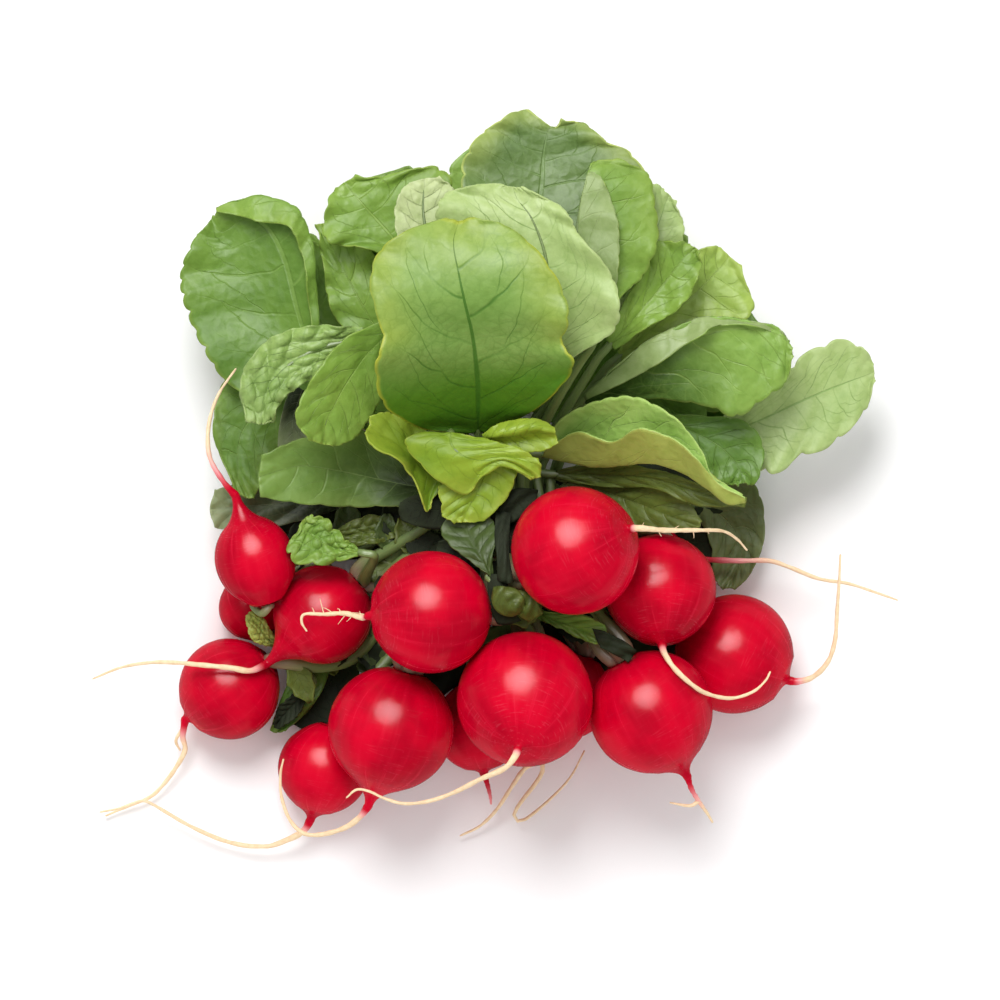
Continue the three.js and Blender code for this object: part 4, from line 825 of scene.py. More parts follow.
# %% Where the leaves lie
LEAVES = {
    # Small leaf over the tie, between the two upper radishes.
    "leaf_03_a": dict(over=True, look="dark", wave=0.4, waves=2, curves=[
        [[496, 582, 45.5], [485, 573, 46.6], [469, 560, 46], [451, 547, 44], [441, 532, 41.5],
         [450, 512, 40.4]],
        [[493, 584, 45.5], [487, 568, 46.6], [477, 550, 45.4], [470, 536, 42.8], [466, 524, 41],
         [464, 510, 40.4]],
        [[490, 586, 45.5], [492, 562, 46.8], [496, 542, 45.6], [496, 528, 43], [490, 516, 41.4],
         [478, 508, 40.4]]]),
    # Broad pale leaf on top of all, rising from its cupped base.
    "leaf_03_b": dict(level=9, look="pale", wave=1.0, waves=5, curves=[
        [[474, 433, 0], [422, 428, 2], [384, 405, 10], [376, 368, 15], [383, 339, 13], [371, 291, 9],
         [379, 256, 6], [407, 234, 4], [452, 221, 0]],
        [[478, 431, 0], [478, 412, 4], [478, 388, 8], [476, 362, 9], [472, 333, 8], [465, 304, 8],
         [459, 275, 6], [454, 246, 4], [460, 221, 0]],
        [[484, 433, 0], [532, 411, 5], [564, 384, 10], [574, 362, 10], [562, 343, 10], [569, 321, 10],
         [561, 289, 8], [536, 252, 5], [500, 226, 2], [468, 221, 0]]]),
    # Young leaves flopped forward over the tie.
    "leaf_03_c": dict(over=True, look="pale", wave=0.5, waves=4, curves=[
        [[458, 434, 48.5], [484, 439, 49.5], [508, 445, 49.8], [529, 453, 49.6], [541, 465, 49],
         [539, 479, 48.4]],
        [[451, 433, 49], [452, 445, 50.5], [463, 456, 50.5], [484, 461, 50], [508, 461, 50.2],
         [536, 480, 48.4]],
        [[444, 434, 48.5], [420, 433, 49.5], [405, 441, 49.8], [414, 457, 49.4], [437, 480, 47.8],
         [466, 494, 46.6], [483, 477, 48.2], [501, 467, 49], [518, 472, 49], [533, 481, 48.4]]]),
    "leaf_03_d": dict(over=True, look="pale", wave=0.4, waves=3, curves=[
        [[452, 476, 41], [436, 497, 42], [428, 512, 42.6], [419, 496, 44.6], [411, 475, 47.4],
         [397, 461, 50.2], [373, 447, 53], [364, 432, 53]],
        [[455, 472, 40], [432, 474, 41], [418, 464, 43], [406, 452, 44.4], [390, 440, 46.4],
         [367, 426, 49]],
        [[457, 466, 41], [443, 446, 41.5], [422, 428, 43], [402, 417, 45], [385, 412, 47],
         [369, 417, 48]]]),
    # Pale broad leaf behind the top one.
    "leaf_04_a": dict(level=8, look="pale", wave=1.0, waves=5, curves=[
        [[516, 400], [480, 345], [448, 290, 1], [436, 240, 2], [440, 203, 2], [466, 189, 1], [505, 187]],
        [[520, 400], [538, 345], [546, 295], [545, 258, 1], [532, 222, 1], [518, 203], [512, 188]],
        [[526, 398], [574, 358, 2], [613, 333, 3], [619, 303, 4], [607, 270, 4], [579, 238, 4],
         [570, 220, 3], [551, 203, 2], [519, 188]]]),
    "leaf_04_b": dict(over=True, look="pale", wave=0.4, waves=3, curves=[
        [[503, 452, 45], [516, 466, 45.5], [515, 481, 45], [507, 498, 44.4], [491, 515, 43.8],
         [474, 523, 43.4]],
        [[497, 451, 45.5], [490, 464, 45.5], [482, 481, 45], [475, 497, 44.4], [467, 511, 43.8],
         [463, 523, 43.4]],
        [[491, 453, 45], [462, 474, 45], [439, 486, 44.5], [441, 503, 44.2], [443, 517, 43.8],
         [455, 522, 43.4]]]),
    "leaf_04_c": dict(over=True, look="pale", wave=0.3, waves=2, curves=[
        [[482, 435, 47.2], [497, 425, 48.6], [516, 420, 49.2], [538, 420, 49], [555, 429, 48.4]],
        [[484, 438, 47.2], [500, 434, 50], [517, 431, 50.6], [538, 429, 50.2], [556, 432, 48.6]],
        [[486, 441, 46.2], [502, 441, 46.6], [520, 440, 46.6], [541, 437, 46.8], [557, 436, 47.8]],
        [[488, 446, 45.8], [503, 451, 46.4], [522, 453, 46.8], [544, 451, 47], [559, 443, 47.6]]]),
    # Leaf folded back over itself above the upper right radish.
    "leaf_04_d": dict(level=7.3, look="pale", wave=0.8, waves=4, curves=[
        [[541, 444, 2], [565, 415, 3], [600, 400, 3], [634, 397, 3], [670, 414, 2], [698, 447, 1],
         [713, 476], [744, 497, 2]],
        [[541, 450, 1], [575, 438], [605, 430], [640, 430], [672, 443], [698, 463], [716, 482],
         [744, 499, 2]],
        [[542, 456, 2], [572, 464, 2], [602, 468, 2], [640, 464, 2], [672, 470, 2], [700, 485, 2],
         [722, 503, 2], [746, 503, 2.5]],
        [[544, 451, 4], [576, 433, 7], [611, 443, 8], [636, 429, 9], [664, 436, 8], [692, 456, 7],
         [718, 486, 5], [746, 500, 3.5]]]),
    "leaf_07_a": dict(level=6.5, look="pale", wave=0.6, waves=3, curves=[
        [[556, 470], [600, 463], [650, 468], [700, 484], [748, 500]],
        [[556, 474], [602, 475], [650, 478], [700, 493], [748, 503]],
        [[556, 478], [602, 487], [650, 488], [696, 505], [746, 507]]]),
    "leaf_05_a": dict(level=5.9, look="plain", wave=0.5, waves=2, curves=[
        [[570, 477], [615, 482], [652, 485], [688, 502], [701, 524]],
        [[568, 480], [612, 494], [645, 506], [672, 517], [701, 527]],
        [[566, 484], [602, 508], [635, 527], [668, 531], [699, 529]]]),
    # Right-hand leaves.
    "leaf_05_b": dict(level=5.4, look="plain", wave=0.9, waves=4, curves=[
        [[586, 400, 3], [626, 382, 5], [662, 361, 6], [692, 340, 6], [718, 326, 5], [754, 327, 3],
         [788, 343]],
        [[584, 396, 3], [617, 362, 3], [662, 332, 3], [703, 317, 3], [742, 319, 2], [776, 327, 1],
         [791, 348]],
        [[585, 402], [640, 380], [700, 362, -1], [745, 352], [770, 350], [782, 350], [792, 351]],
        [[588, 408], [650, 399, -2], [705, 406, -3], [735, 417, -3], [766, 398, -2], [786, 380, -1],
         [792, 355]]]),
    "leaf_05_c": dict(level=3.7, look="plain", wave=0.8, waves=3, curves=[
        [[668, 414], [715, 416], [750, 424], [764, 450], [758, 480], [746, 484]],
        [[667, 419], [698, 434], [722, 448], [737, 465], [742, 477], [742, 484]],
        [[665, 424], [690, 452], [702, 472], [716, 483], [728, 485], [738, 485]]]),
    "leaf_15_a": dict(level=3, look="pale", wave=0.8, waves=5, curves=[
        [[697, 437], [740, 404, 2], [778, 378, 2], [802, 355, 2], [835, 339, 1], [862, 346, 1], [875, 366]],
        [[698, 441], [750, 424], [795, 404], [825, 391], [848, 382], [864, 376], [876, 371]],
        [[700, 446], [735, 464, 1], [768, 476, 1], [800, 459, 1], [836, 443, 1], [866, 410], [876, 378]]]),
    "leaf_14_a": dict(level=1.7, sweep=(25, 32, 66, 10), look="dark", wave=0.5, waves=4),
    "leaf_14_b": dict(level=0, sweep=(63, 26, 88, 18), look="dark", wave=0.5, waves=4),
    "leaf_14_c": dict(level=0.8, look="dark", wave=0.5, waves=2, curves=[
        [[690, 489], [745, 478, 1], [764, 502, 1], [765, 545, 1], [750, 577, 1], [734, 590]],
        [[688, 492], [718, 512], [735, 530], [742, 552], [737, 572], [729, 590]],
        [[684, 495], [702, 522], [712, 548], [713, 570], [718, 584], [724, 590]]]),
    # Upper right leaves.
    "leaf_07_b": dict(level=7, look="pale", wave=0.7, waves=4, curves=[
        [[594, 326, 3], [613, 297, 4], [618, 262, 5], [618, 232, 5], [612, 205, 4], [602, 182, 3],
         [597, 166, 1]],
        [[590, 326, 2], [585, 290, 2], [578, 248, 3], [580, 212, 3], [585, 188, 3], [590, 170, 2],
         [596, 163, 1]],
        [[596, 322], [622, 296, -1], [644, 275, -1], [657, 242], [654, 204], [645, 174], [615, 161]]]),
    "leaf_07_c": dict(level=6.1, look="plain", wave=1.0, waves=4, curves=[
        [[606, 340], [624, 302, 1], [646, 266, 1], [652, 245, 1], [672, 242, 1], [690, 247]],
        [[610, 345], [638, 314], [660, 288, -1], [676, 268], [686, 256], [695, 248]],
        [[614, 350], [648, 328, 1], [676, 312, 1], [693, 290, 1], [700, 266], [699, 252]]]),
    "leaf_07_d": dict(level=4.7, look="plain", wave=0.8, waves=4, curves=[
        [[618, 352], [645, 305, 1], [678, 268, 1], [703, 248, 1], [722, 248]],
        [[620, 356], [660, 322], [696, 293, -1], [718, 270], [730, 256]],
        [[624, 362], [672, 346, 1], [718, 332, 1], [752, 312, 1], [740, 264]]]),
    "leaf_08_a": dict(over=True, look="dark", wave=0.4, waves=2, curves=[
        [[533, 607, 34], [556, 612, 36], [585, 616, 38], [604, 624, 39], [609, 640, 39]],
        [[532, 610, 33.5], [552, 619, 35.5], [572, 626, 37], [590, 634, 38], [607, 644, 39]],
        [[531, 613, 34], [548, 624, 35.5], [568, 632, 37], [588, 642, 38], [603, 646, 39]]]),
    "leaf_08_b": dict(level=5.5, look="plain", wave=0.6, waves=3, curves=[
        [[600, 318], [616, 265], [632, 215], [648, 186, 1], [664, 192]],
        [[604, 322], [636, 270], [656, 230], [664, 206], [669, 195]],
        [[610, 326], [656, 290], [681, 246], [682, 222], [674, 202]]]),
    # Top leaf, notched at its tip.
    "leaf_08_c": dict(level=6, look="dark", wave=1.0, waves=4, curves=[
        [[512, 292], [478, 240, 1], [461, 190, 2], [465, 156, 2], [483, 134, 1], [505, 118, 1], [530, 109]],
        [[520, 296], [534, 235], [541, 190, -1], [543, 160, -1], [546, 140], [549, 130], [552, 128]],
        [[528, 294], [604, 252, 1], [652, 205, 1], [636, 160, 1], [604, 140, 1], [580, 124], [560, 121]]]),
    # Left-hand leaves.
    "leaf_09_a": dict(level=3.4, look="plain", wave=0.9, waves=5, curves=[
        [[258, 402], [224, 380, 1], [199, 342, 1], [183, 302, 1], [180, 272, 1], [193, 240, 1], [206, 225],
         [215, 214]],
        [[298, 400], [284, 352], [262, 305, -1], [243, 268, -1], [230, 243, -1], [221, 228], [216, 213]],
        [[322, 392, 2], [321, 345, 5], [316, 296, 6], [311, 245, 6], [296, 210, 6], [262, 196, 5],
         [236, 199, 4], [214, 208, 2]],
        [[318, 392, 4], [314, 345, 7], [309, 300, 8], [304, 260, 9], [290, 228, 9], [262, 222, 8],
         [238, 216, 6], [214, 211, 3]]]),
    "leaf_09_b": dict(level=5.2, look="plain", wave=1.0, waves=4, curves=[
        [[432, 300], [388, 258, 1], [348, 248, 1], [325, 240, 1], [326, 210, 1], [338, 187]],
        [[437, 296], [406, 254, -1], [382, 226, -1], [364, 206], [352, 192], [345, 182]],
        [[444, 292], [456, 238, 1], [456, 188, 1], [432, 166, 1], [392, 176, 1], [354, 177]]]),
    "leaf_09_c": dict(level=4.1, look="dark", wave=1.2, waves=5, curves=[
        [[402, 372], [358, 342], [332, 312], [325, 280], [320, 245], [316, 222]],
        [[407, 368], [376, 328], [358, 297], [344, 270], [332, 246], [321, 222]],
        [[413, 362], [408, 310], [390, 270], [366, 246], [344, 230], [327, 221]]]),
    "leaf_09_d": dict(level=7.6, look="pale", wave=0.5, waves=3, curves=[
        [[448, 318], [405, 258], [395, 222, 1], [399, 198, 1], [412, 184]],
        [[453, 316], [432, 255], [424, 218], [424, 196], [426, 180]],
        [[460, 314], [462, 255], [459, 215], [453, 190], [440, 180]]]),
    "leaf_10_a": dict(level=3.2, sweep=(106, 28, 82, 18), look="dark", wave=0.8, waves=4),
    "leaf_10_b": dict(level=2.2, sweep=(130, 25, 82, 17), look="dark", wave=0.8, waves=4),
    "leaf_02_a": dict(over=True, look="pale", wave=1.0, waves=3, curves=[
        [[358, 556, 36], [334, 563, 36], [305, 566, 36], [287, 556, 36], [293, 536, 35]],
        [[358, 552, 36], [338, 548, 35], [320, 542, 35], [308, 532, 34], [302, 520, 34]],
        [[358, 548, 36], [346, 538, 36], [336, 527, 35], [327, 518, 35], [312, 515, 34]]]),
    "leaf_02_b": dict(level=5, look="plain", wave=0.8, waves=3, curves=[
        [[430, 493, 8.8], [416, 507, 13], [385, 507, 6], [345, 507, 1], [300, 504], [257, 496]],
        [[431, 488, 8.6], [398, 484, 5], [344, 472, 1], [300, 466], [256, 478]],
        [[432, 484, 8.6], [406, 465, 5], [366, 430, 1], [305, 437, 1], [260, 456]]]),
    "leaf_02_c": dict(level=6, look="pale", wave=1.4, waves=6, curves=[
        [[371, 345], [338, 365, 1], [306, 384, 1], [284, 400, 1], [274, 424]],
        [[367, 338], [322, 348], [287, 368], [266, 394], [261, 427]],
        [[363, 328], [318, 326, 1], [272, 338, 1], [242, 378, 1], [247, 424]]]),
    "leaf_02_d": dict(level=7, look="plain", wave=0.8, waves=4, curves=[
        [[393, 340], [388, 378, 1], [372, 416, 1], [352, 440, 1], [330, 446]],
        [[389, 332], [362, 362], [342, 392], [328, 420], [322, 446]],
        [[382, 322], [342, 342, 1], [309, 385, 1], [296, 418, 1], [310, 441]]]),
    # Leaves low on the left.
    "leaf_01_a": dict(over=True, look="plain", wave=0.5, waves=3, curves=[
        [[318, 548, 21], [345, 524, 24], [372, 514, 25], [394, 520, 25]],
        [[318, 552, 21], [350, 535, 24], [376, 530, 24], [398, 529, 24]],
        [[318, 556, 21], [352, 547, 25], [378, 544, 25], [396, 538, 25]]]),
    "leaf_01_b": dict(level=2.6, look="dark", wave=0.6, waves=4, curves=[
        [[324, 392], [296, 425], [274, 455], [262, 482], [252, 500]],
        [[322, 384], [274, 400], [243, 430], [237, 468], [246, 500]],
        [[318, 376], [258, 360], [222, 384], [213, 432], [236, 496]]]),
    "leaf_11_a": dict(level=1.6, look="dark", wave=0.5, waves=3, curves=[
        [[395, 490], [340, 508], [285, 525], [235, 530], [212, 528]],
        [[396, 486], [340, 491], [285, 502], [235, 507], [207, 509]],
        [[397, 482], [340, 474], [285, 476], [235, 484], [213, 490]]]),
    "leaf_11_b": dict(over=True, look="dark", wave=0.4, waves=2, curves=[
        [[306, 700, 11], [298, 716, 11], [286, 726, 10], [276, 731, 9]],
        [[303, 694, 11], [292, 706, 10], [282, 717, 9], [273, 729, 8]],
        [[299, 690, 11], [286, 699, 11], [276, 710, 10], [271, 725, 9]]]),
    "leaf_12_a": dict(over=True, look="plain", wave=0.3, waves=2, curves=[
        [[271, 647, 14.5], [259, 645, 18.5], [250, 639, 20.5], [246, 627, 20.5], [245, 615, 20.5]],
        [[274, 644, 14.5], [265, 638, 17.5], [258, 630, 19], [253, 621, 20], [248, 612, 20]],
        [[277, 641, 14.5], [271, 632, 17.5], [266, 623, 19], [260, 616, 19.8], [252, 611, 20]]]),
    "leaf_12_b": dict(level=0, sweep=(131, 24, 86, 18), look="dark", wave=0.5, waves=4),
    # Leaves hidden under the rest.
    "leaf_13_a": dict(level=0.7, sweep=(107, 26, 86, 18), look="dark", wave=0.5, waves=4),
    "leaf_13_b": dict(level=1.6, sweep=(86, 28, 92, 18), look="dark", wave=0.6, waves=4),
    "leaf_06_a": dict(level=4, sweep=(80, 28, 94, 18), look="dark", wave=0.8, waves=4),
    "leaf_06_b": dict(level=3.3, sweep=(58, 26, 82, 17), look="dark", wave=0.8, waves=4),
    "leaf_15_b": dict(level=2.1, sweep=(37, 26, 80, 16), look="dark", wave=0.6, waves=4),
}
print("leaves:", len(LEAVES))

# %% The fan
LOW_AT_TIE, LOW_AWAY, LOW_REACH = 12, 1.6, 30
STEP_AT_TIE, STEP_AWAY, STEP_REACH = 2.6, 7.8, 60
DROOP, DROOP_FROM, DROOP_TO = 0.9, 70, 120


def fan_height(level, x, y):
    """Height of a fan level over a place in the plan, in millimetres."""
    away = np.hypot(x - tie_x, y - tie_y)
    low = LOW_AT_TIE + (LOW_AWAY - LOW_AT_TIE) * smoothstep(away, 0, LOW_REACH)
    step = STEP_AT_TIE + (STEP_AWAY - STEP_AT_TIE) * smoothstep(away, 0, STEP_REACH)
    return low + level * (step - DROOP * smoothstep(away, DROOP_FROM, DROOP_TO))


print("top of the fan, far out:", round(float(fan_height(9, tie_x + 100, tie_y)), 1), "mm")


# %% A leaf under the others
UNDER_WIDTHS = [0.12, 0.6, 0.92, 1, 0.88, 0.3]
UNDER_CUP, UNDER_BEND = 2.6, 2.2
CUP_AT_BASE, CUP_STEP = 0.3, 0.14


def sweep_curves(angle, start, end, half):
    """Curves of a round-ended blade that points away from the tie, cupped and a little bent."""
    turn = math.radians(angle)
    # The sine of the bare number of degrees only scatters the bends to both sides.
    bend = UNDER_BEND * math.sin(angle)
    curves = []
    for side in (-1, 0, 1):
        row = []
        for i, width in enumerate(UNDER_WIDTHS):
            out = (start + (end - start) * i / 5) / PLAN_SQUARE
            off = (side * half * width + bend * math.sin(math.pi * i / 5)) / PLAN_SQUARE
            row.append([TIE_AT[0] + out * math.cos(turn) + off * math.sin(turn),
                        TIE_AT[1] - out * math.sin(turn) + off * math.cos(turn),
                        UNDER_CUP * abs(side) * (CUP_AT_BASE + CUP_STEP * i)])
        curves.append(row)
    return curves


print("leaves under the others:", sum("sweep" in leaf for leaf in LEAVES.values()))

# %% Which green each leaf shows
# The first green is the face that looks up where the blade lies open, the second its other face.
# The darkest greens are painted shade: leaf_03_a and leaf_11_b lie in dark gaps and take them.
TINTS = {
    "leaf_03_a": ("shade", "moss"), "leaf_03_b": ("lime", "mist"), "leaf_03_c": ("yellow", "yellow"),
    "leaf_03_d": ("yellow", "yellow"), "leaf_04_a": ("mist", "fresh"), "leaf_04_b": ("yellow", "yellow"),
    "leaf_04_c": ("yellow", "yellow"), "leaf_04_d": ("sage", "hay"), "leaf_07_a": ("olive", "olive"),
    "leaf_05_a": ("olive", "olive"), "leaf_05_b": ("deep", "chalk"), "leaf_05_c": ("fern", "chalk"),
    "leaf_15_a": ("mist", "fresh"), "leaf_14_a": ("fern", "chalk"), "leaf_14_b": ("moss", "chalk"),
    "leaf_14_c": ("slate", "slate"), "leaf_07_b": ("fresh", "chalk"), "leaf_07_c": ("fresh", "mist"),
    "leaf_07_d": ("spring", "mist"), "leaf_08_a": ("moss", "moss"), "leaf_08_b": ("mist", "moss"),
    "leaf_08_c": ("blue", "moss"), "leaf_09_a": ("moss", "fresh"), "leaf_09_b": ("fresh", "chalk"),
    "leaf_09_c": ("fresh", "moss"), "leaf_09_d": ("cream", "moss"), "leaf_10_a": ("fern", "chalk"),
    "leaf_10_b": ("moss", "chalk"), "leaf_02_a": ("fresh", "moss"), "leaf_02_b": ("dusk", "olive"),
    "leaf_02_c": ("quilt", "moss"), "leaf_02_d": ("fresh", "chalk"), "leaf_01_a": ("olive", "moss"),
    "leaf_01_b": ("moss", "chalk"), "leaf_11_a": ("moth", "chalk"), "leaf_11_b": ("painted_shade", "painted_shade"),
    "leaf_12_a": ("hay", "chalk"), "leaf_12_b": ("moss", "chalk"), "leaf_13_a": ("fern", "moss"),
    "leaf_13_b": ("deep", "chalk"), "leaf_06_a": ("fern", "chalk"), "leaf_06_b": ("moss", "moss"),
    "leaf_15_b": ("fern", "moss"),
}
print("greens in use:", len({green for pair in TINTS.values() for green in pair}))

# %% How each leaf's surface differs
# swell, rough and quilt are in mm and come with the relief below; lobes and notch are the number
# and the depth of the edge's lobes, stalk makes a thin stalk.
SURFACE = {
    "leaf_03_b": dict(swell=0.35, side_veins=5.5, bow=0.27, lobes=13, notch=0.025),
    "leaf_04_a": dict(swell=0.3, side_veins=9.0, bow=0.3, rough=0.2, lobes=18, notch=0.03),
    "leaf_02_c": dict(swell=0.3, side_veins=9.0, rough=0.5, quilt=1.1, lobes=12, notch=0.03),
    "leaf_02_a": dict(swell=0.3, rough=0.5, quilt=0.9, lobes=5, notch=0.2),
    "leaf_05_b": dict(swell=0.4, rough=0.4, quilt=0.5, lobes=11),
    "leaf_15_a": dict(swell=0.3, side_veins=7.0, rough=0.25, lobes=7, notch=0.11),
    "leaf_05_c": dict(lobes=8, notch=0.07), "leaf_07_b": dict(rough=0.25, lobes=14, notch=0.03),
    "leaf_07_d": dict(rough=0.3, lobes=12, notch=0.035), "leaf_09_a": dict(lobes=16, notch=0.04, swell=0.35),
    "leaf_09_b": dict(lobes=10, notch=0.05, swell=0.5),
    "leaf_03_c": dict(swell=0.25, side_veins=5.0, rough=0.8, lobes=11, notch=0.04),
    "leaf_03_d": dict(swell=0.3, rough=0.5, lobes=11, notch=0.06),
    "leaf_04_b": dict(swell=0.5, rough=0.6, lobes=8, notch=0.04),
    "leaf_04_c": dict(swell=0.2, rough=0.4, lobes=8),
    "leaf_01_a": dict(quilt=0.6, lobes=6, notch=0.1, stalk=0.6),
    "leaf_04_d": dict(swell=0.3, rough=0.45, lobes=15, notch=0.035), "leaf_12_a": dict(quilt=0.6, notch=0.1),
    "leaf_01_b": dict(stalk=0.6), "leaf_11_b": dict(notch=0.08), "leaf_08_a": dict(notch=0.1, lobes=6),
}
# The leaves under the fan are seen from behind and from the sides: more wavy, deeply lobed.
UNDER_LEAF = dict(swell=0.6, rough=0.8, lobes=8, notch=0.13)
PLAIN_LEAF = dict(swell=0.45, rough=0.35, quilt=0.0, lobes=9, notch=0.045, side_veins=6.0, bow=0.2,
                  stalk=1.0)
# Leaves that turn their underside up, where the midrib stands out.
RIBS_UP = {"leaf_04_a", "leaf_09_d", "leaf_02_c"}
print("leaves with a surface of their own:", len(SURFACE))

# %% Blade sheets
LEAST_BLADE_HEIGHT = 0.41


def blade_points(leaf, u, t):
    """The blade's surface for every u across and t along: shape (len(u), len(t), 3)."""
    curves = leaf.get("curves") or sweep_curves(*leaf["sweep"])
    lines = np.stack([along([[*p, 0][:3] for p in curve], t) for curve in curves])
    grid = along(lines, u)
    x, y = grid_mm(grid[..., 0], grid[..., 1])
    edge = ((2 * u - 1) ** 2)[:, None]
    wave = leaf["wave"] * edge * np.sin(2 * np.pi * leaf["waves"] * t[None] + 3 * u[:, None])
    base = 0 if leaf.get("over") else fan_height(leaf["level"], x, y)
    height = np.maximum(base + grid[..., 2] + wave, LEAST_BLADE_HEIGHT)
    return np.stack([x, y, height], -1) + shift


def surface_normals(points):
    normal = np.cross(np.gradient(points, axis=0), np.gradient(points, axis=1))
    return normal / np.maximum(np.linalg.norm(normal, axis=-1, keepdims=True), 1e-9)


whole = np.linspace(0, 1, 21)
top_blade = blade_points(LEAVES["leaf_03_b"], whole, whole)
print("top blade across, along and up:", np.ptp(top_blade, axis=(0, 1)).round(1), "mm")

# %% [markdown]
# ## Veins in relief
# On the real leaf the skin swells between sunken veins. The big swells are moved into the sheet
# itself, so they catch the light and show in outline; the fine net is left to the finish.

# %% Veins in relief
def vein_relief(leaf, u, t, rng):
    """How far each point of a blade is lifted, in millimetres."""
    u, t = u[:, None], t[None]
    away = np.abs(2 * u - 1)
    count = (t - leaf["bow"] * away**1.3) * leaf["side_veins"] + (u > 0.5) * SIDE_SHIFT
    ridge = np.abs(count - np.floor(count) - 0.5) * 2
    swell = np.sqrt(np.clip(ridge, 0, 1)) * smoothstep(away, 0.02, 0.25)
    rough = np.zeros((len(u), t.size))
    for _ in range(7):
        a, b = rng.uniform(4, 15), rng.uniform(8, 26)
        rough += np.sin(a * u + b * t + rng.uniform(0, 6.3)) / 7
    across = np.abs(np.sin(np.pi * (4 * u + 0.35 * np.sin(9 * t))))
    lengthways = np.abs(np.sin(np.pi * (7 * t + 0.35 * np.sin(8 * u))))
    puffs = (across * lengthways) ** 0.5 * smoothstep(1 - away, 0.02, 0.3)
    rough = rough + leaf["quilt"] / max(leaf["rough"], 0.1) * puffs
    return smoothstep(t, 0.0, 0.12) * (leaf["swell"] * swell + leaf["rough"] * rough)


lift = vein_relief(PLAIN_LEAF, whole, whole, np.random.default_rng(0))
print("relief of a plain leaf: from", lift.min().round(2), "to", lift.max().round(2), "mm")

# %% Scalloped edges
def scallops(leaf, t, rng, side):
    """How much of the half width is left where the edge is notched: round lobes, sharp gaps."""
    spot = t * leaf["lobes"] + rng.uniform(0, 1) + 0.35 * np.sin(5 * t + side)
    dip = np.abs(spot - np.floor(spot) - 0.5) * 2
    return 1 - leaf["notch"] * dip**3 * smoothstep(t, 0.08, 0.25)


print("a lower leaf is cut in to", scallops(UNDER_LEAF, whole, np.random.default_rng(0), 0).min().round(2))

# %% Blade thickness
BLADE_THICKNESS = 0.0004


def finish_blade(blade, greens):
    """Gives the sheet its thickness, with the leaf's second green on the underside."""
    dress(blade, [LEAF_FINISH[green] for green in greens])
    pick([blade])
    shell = blade.modifiers.new("thickness", "SOLIDIFY")
    shell.thickness = BLADE_THICKNESS
    shell.offset = 0
    shell.material_offset = 1
    shell.use_quality_normals = True
    bpy.ops.object.modifier_apply(modifier=shell.name)


print("a blade is", BLADE_THICKNESS / MM, "mm thick")

# %% A leaf's blade
BLADE_COLUMNS, BLADE_ROWS, BLADE_END = 35, 87, 0.985
LEAST_EDGE_HEIGHT = 0.3


def blade_sheet(name, leaf, rng):
    u = np.linspace(0, 1, BLADE_COLUMNS)
    t = np.linspace(0, BLADE_END, BLADE_ROWS)
    left, right = scallops(leaf, t, rng, 0), scallops(leaf, t, rng, 1)
    keep = np.where(u[:, None] < 0.5, left, right)
    flat = blade_points(leaf, u, t)
    middle = flat[BLADE_COLUMNS // 2]
    points = middle + (flat - middle) * keep[..., None]
    points = points + surface_normals(points) * vein_relief(leaf, u, t, rng)[..., None]
    points[..., 2] = np.maximum(points[..., 2], LEAST_EDGE_HEIGHT)
    blade, _ = sheet(name + "_blade", points)
    finish_blade(blade, TINTS[name])
    return blade


print("corners on a blade's face:", BLADE_COLUMNS * BLADE_ROWS)

# %% [markdown]
# ## Stalks
# A stalk's way from the crown through the band to its blade is long and was found with care when
# the plain solids were laid side by side. It is read off the frame's own mesh: ring after ring,
# from the crown on, until the rings grow wide where the blade begins. The new stalk follows the
# middles of those rings and runs on as the raised midrib under the blade.

# %% Reading a stalk's line from the frame
WIDEST_RING = 8


def stalk_line(name, crown):
    """The middle line of a frame leaf's stalk, from the crown to the blade."""
    mesh = nodes[name].data
    places = np.array([v.co for v in mesh.vertices]) / MM
    keys = {}
    index = np.array([keys.setdefault(tuple(np.round(p, 3)), len(keys)) for p in places])
    spots = np.zeros((len(keys), 3))
    spots[index] = places
    near = [set() for _ in keys]
    for face in mesh.polygons:
        ring = [index[v] for v in face.vertices]
        for a in ring:
            near[a].update(ring)
    first = int(np.argmin(np.linalg.norm(spots - crown, axis=1)))
    seen, layer, line = {first}, [first], [spots[first]]
    while True:
        layer = sorted({b for a in layer for b in near[a]} - seen)
        if not 0 < len(layer) <= WIDEST_RING:
            break
        seen.update(layer)
        line.append(spots[layer].mean(0))
    return np.array(line)


def crown_of(number):
    """Where a radish's leaves grow from."""
    middle, _, reach, axis = radish_size(RADISHES[number])
    return middle + axis * CROWN_AT * reach


stalk = stalk_line("leaf_03_b", crown_of(3))
print("the top leaf's stalk:", len(stalk), "rings over", round(float(length_of(stalk))), "mm")

# %% A leaf's stalk and midrib
LINE_STEPS = 120
STALK_SIDES, STALK_RINGS, RIB_RINGS = 10, 90, 24
STALK_RADII = [1.8, 1.45, 1.0, 0.18]
RIB_START, RIB_END, RIB_START_RADIUS = 0.02, 0.8, 1.0
RIB_OUT, RIB_SUNK = 0.55, -0.9


def stalk_tube(name, leaf, line):
    rib_t = np.linspace(RIB_START, RIB_END, RIB_RINGS)
    rib = blade_points(leaf, np.array([0.5]), rib_t)[0]
    rib_radii = np.interp(rib_t, [0, RIB_END], [RIB_START_RADIUS, STALK_RADII[-1]])
    up = surface_normals(blade_points(leaf, np.array([0.4, 0.5, 0.6]), rib_t))[1]
    sink = RIB_OUT if name in RIBS_UP else RIB_SUNK
    rib = rib + up * (sink * rib_radii)[:, None]
    path = even(np.concatenate([along(line, np.linspace(0, 1, LINE_STEPS)), rib]), STALK_RINGS)
    run, length = run_of(path), length_of(line)
    radii = np.interp(run, [0, length * 0.3, length, run[-1]], STALK_RADII) * leaf["stalk"]
    stalk = tube(name + "_stalk", path, radii, STALK_SIDES)
    dress(stalk, [STALK])
    weld(stalk)
    return stalk


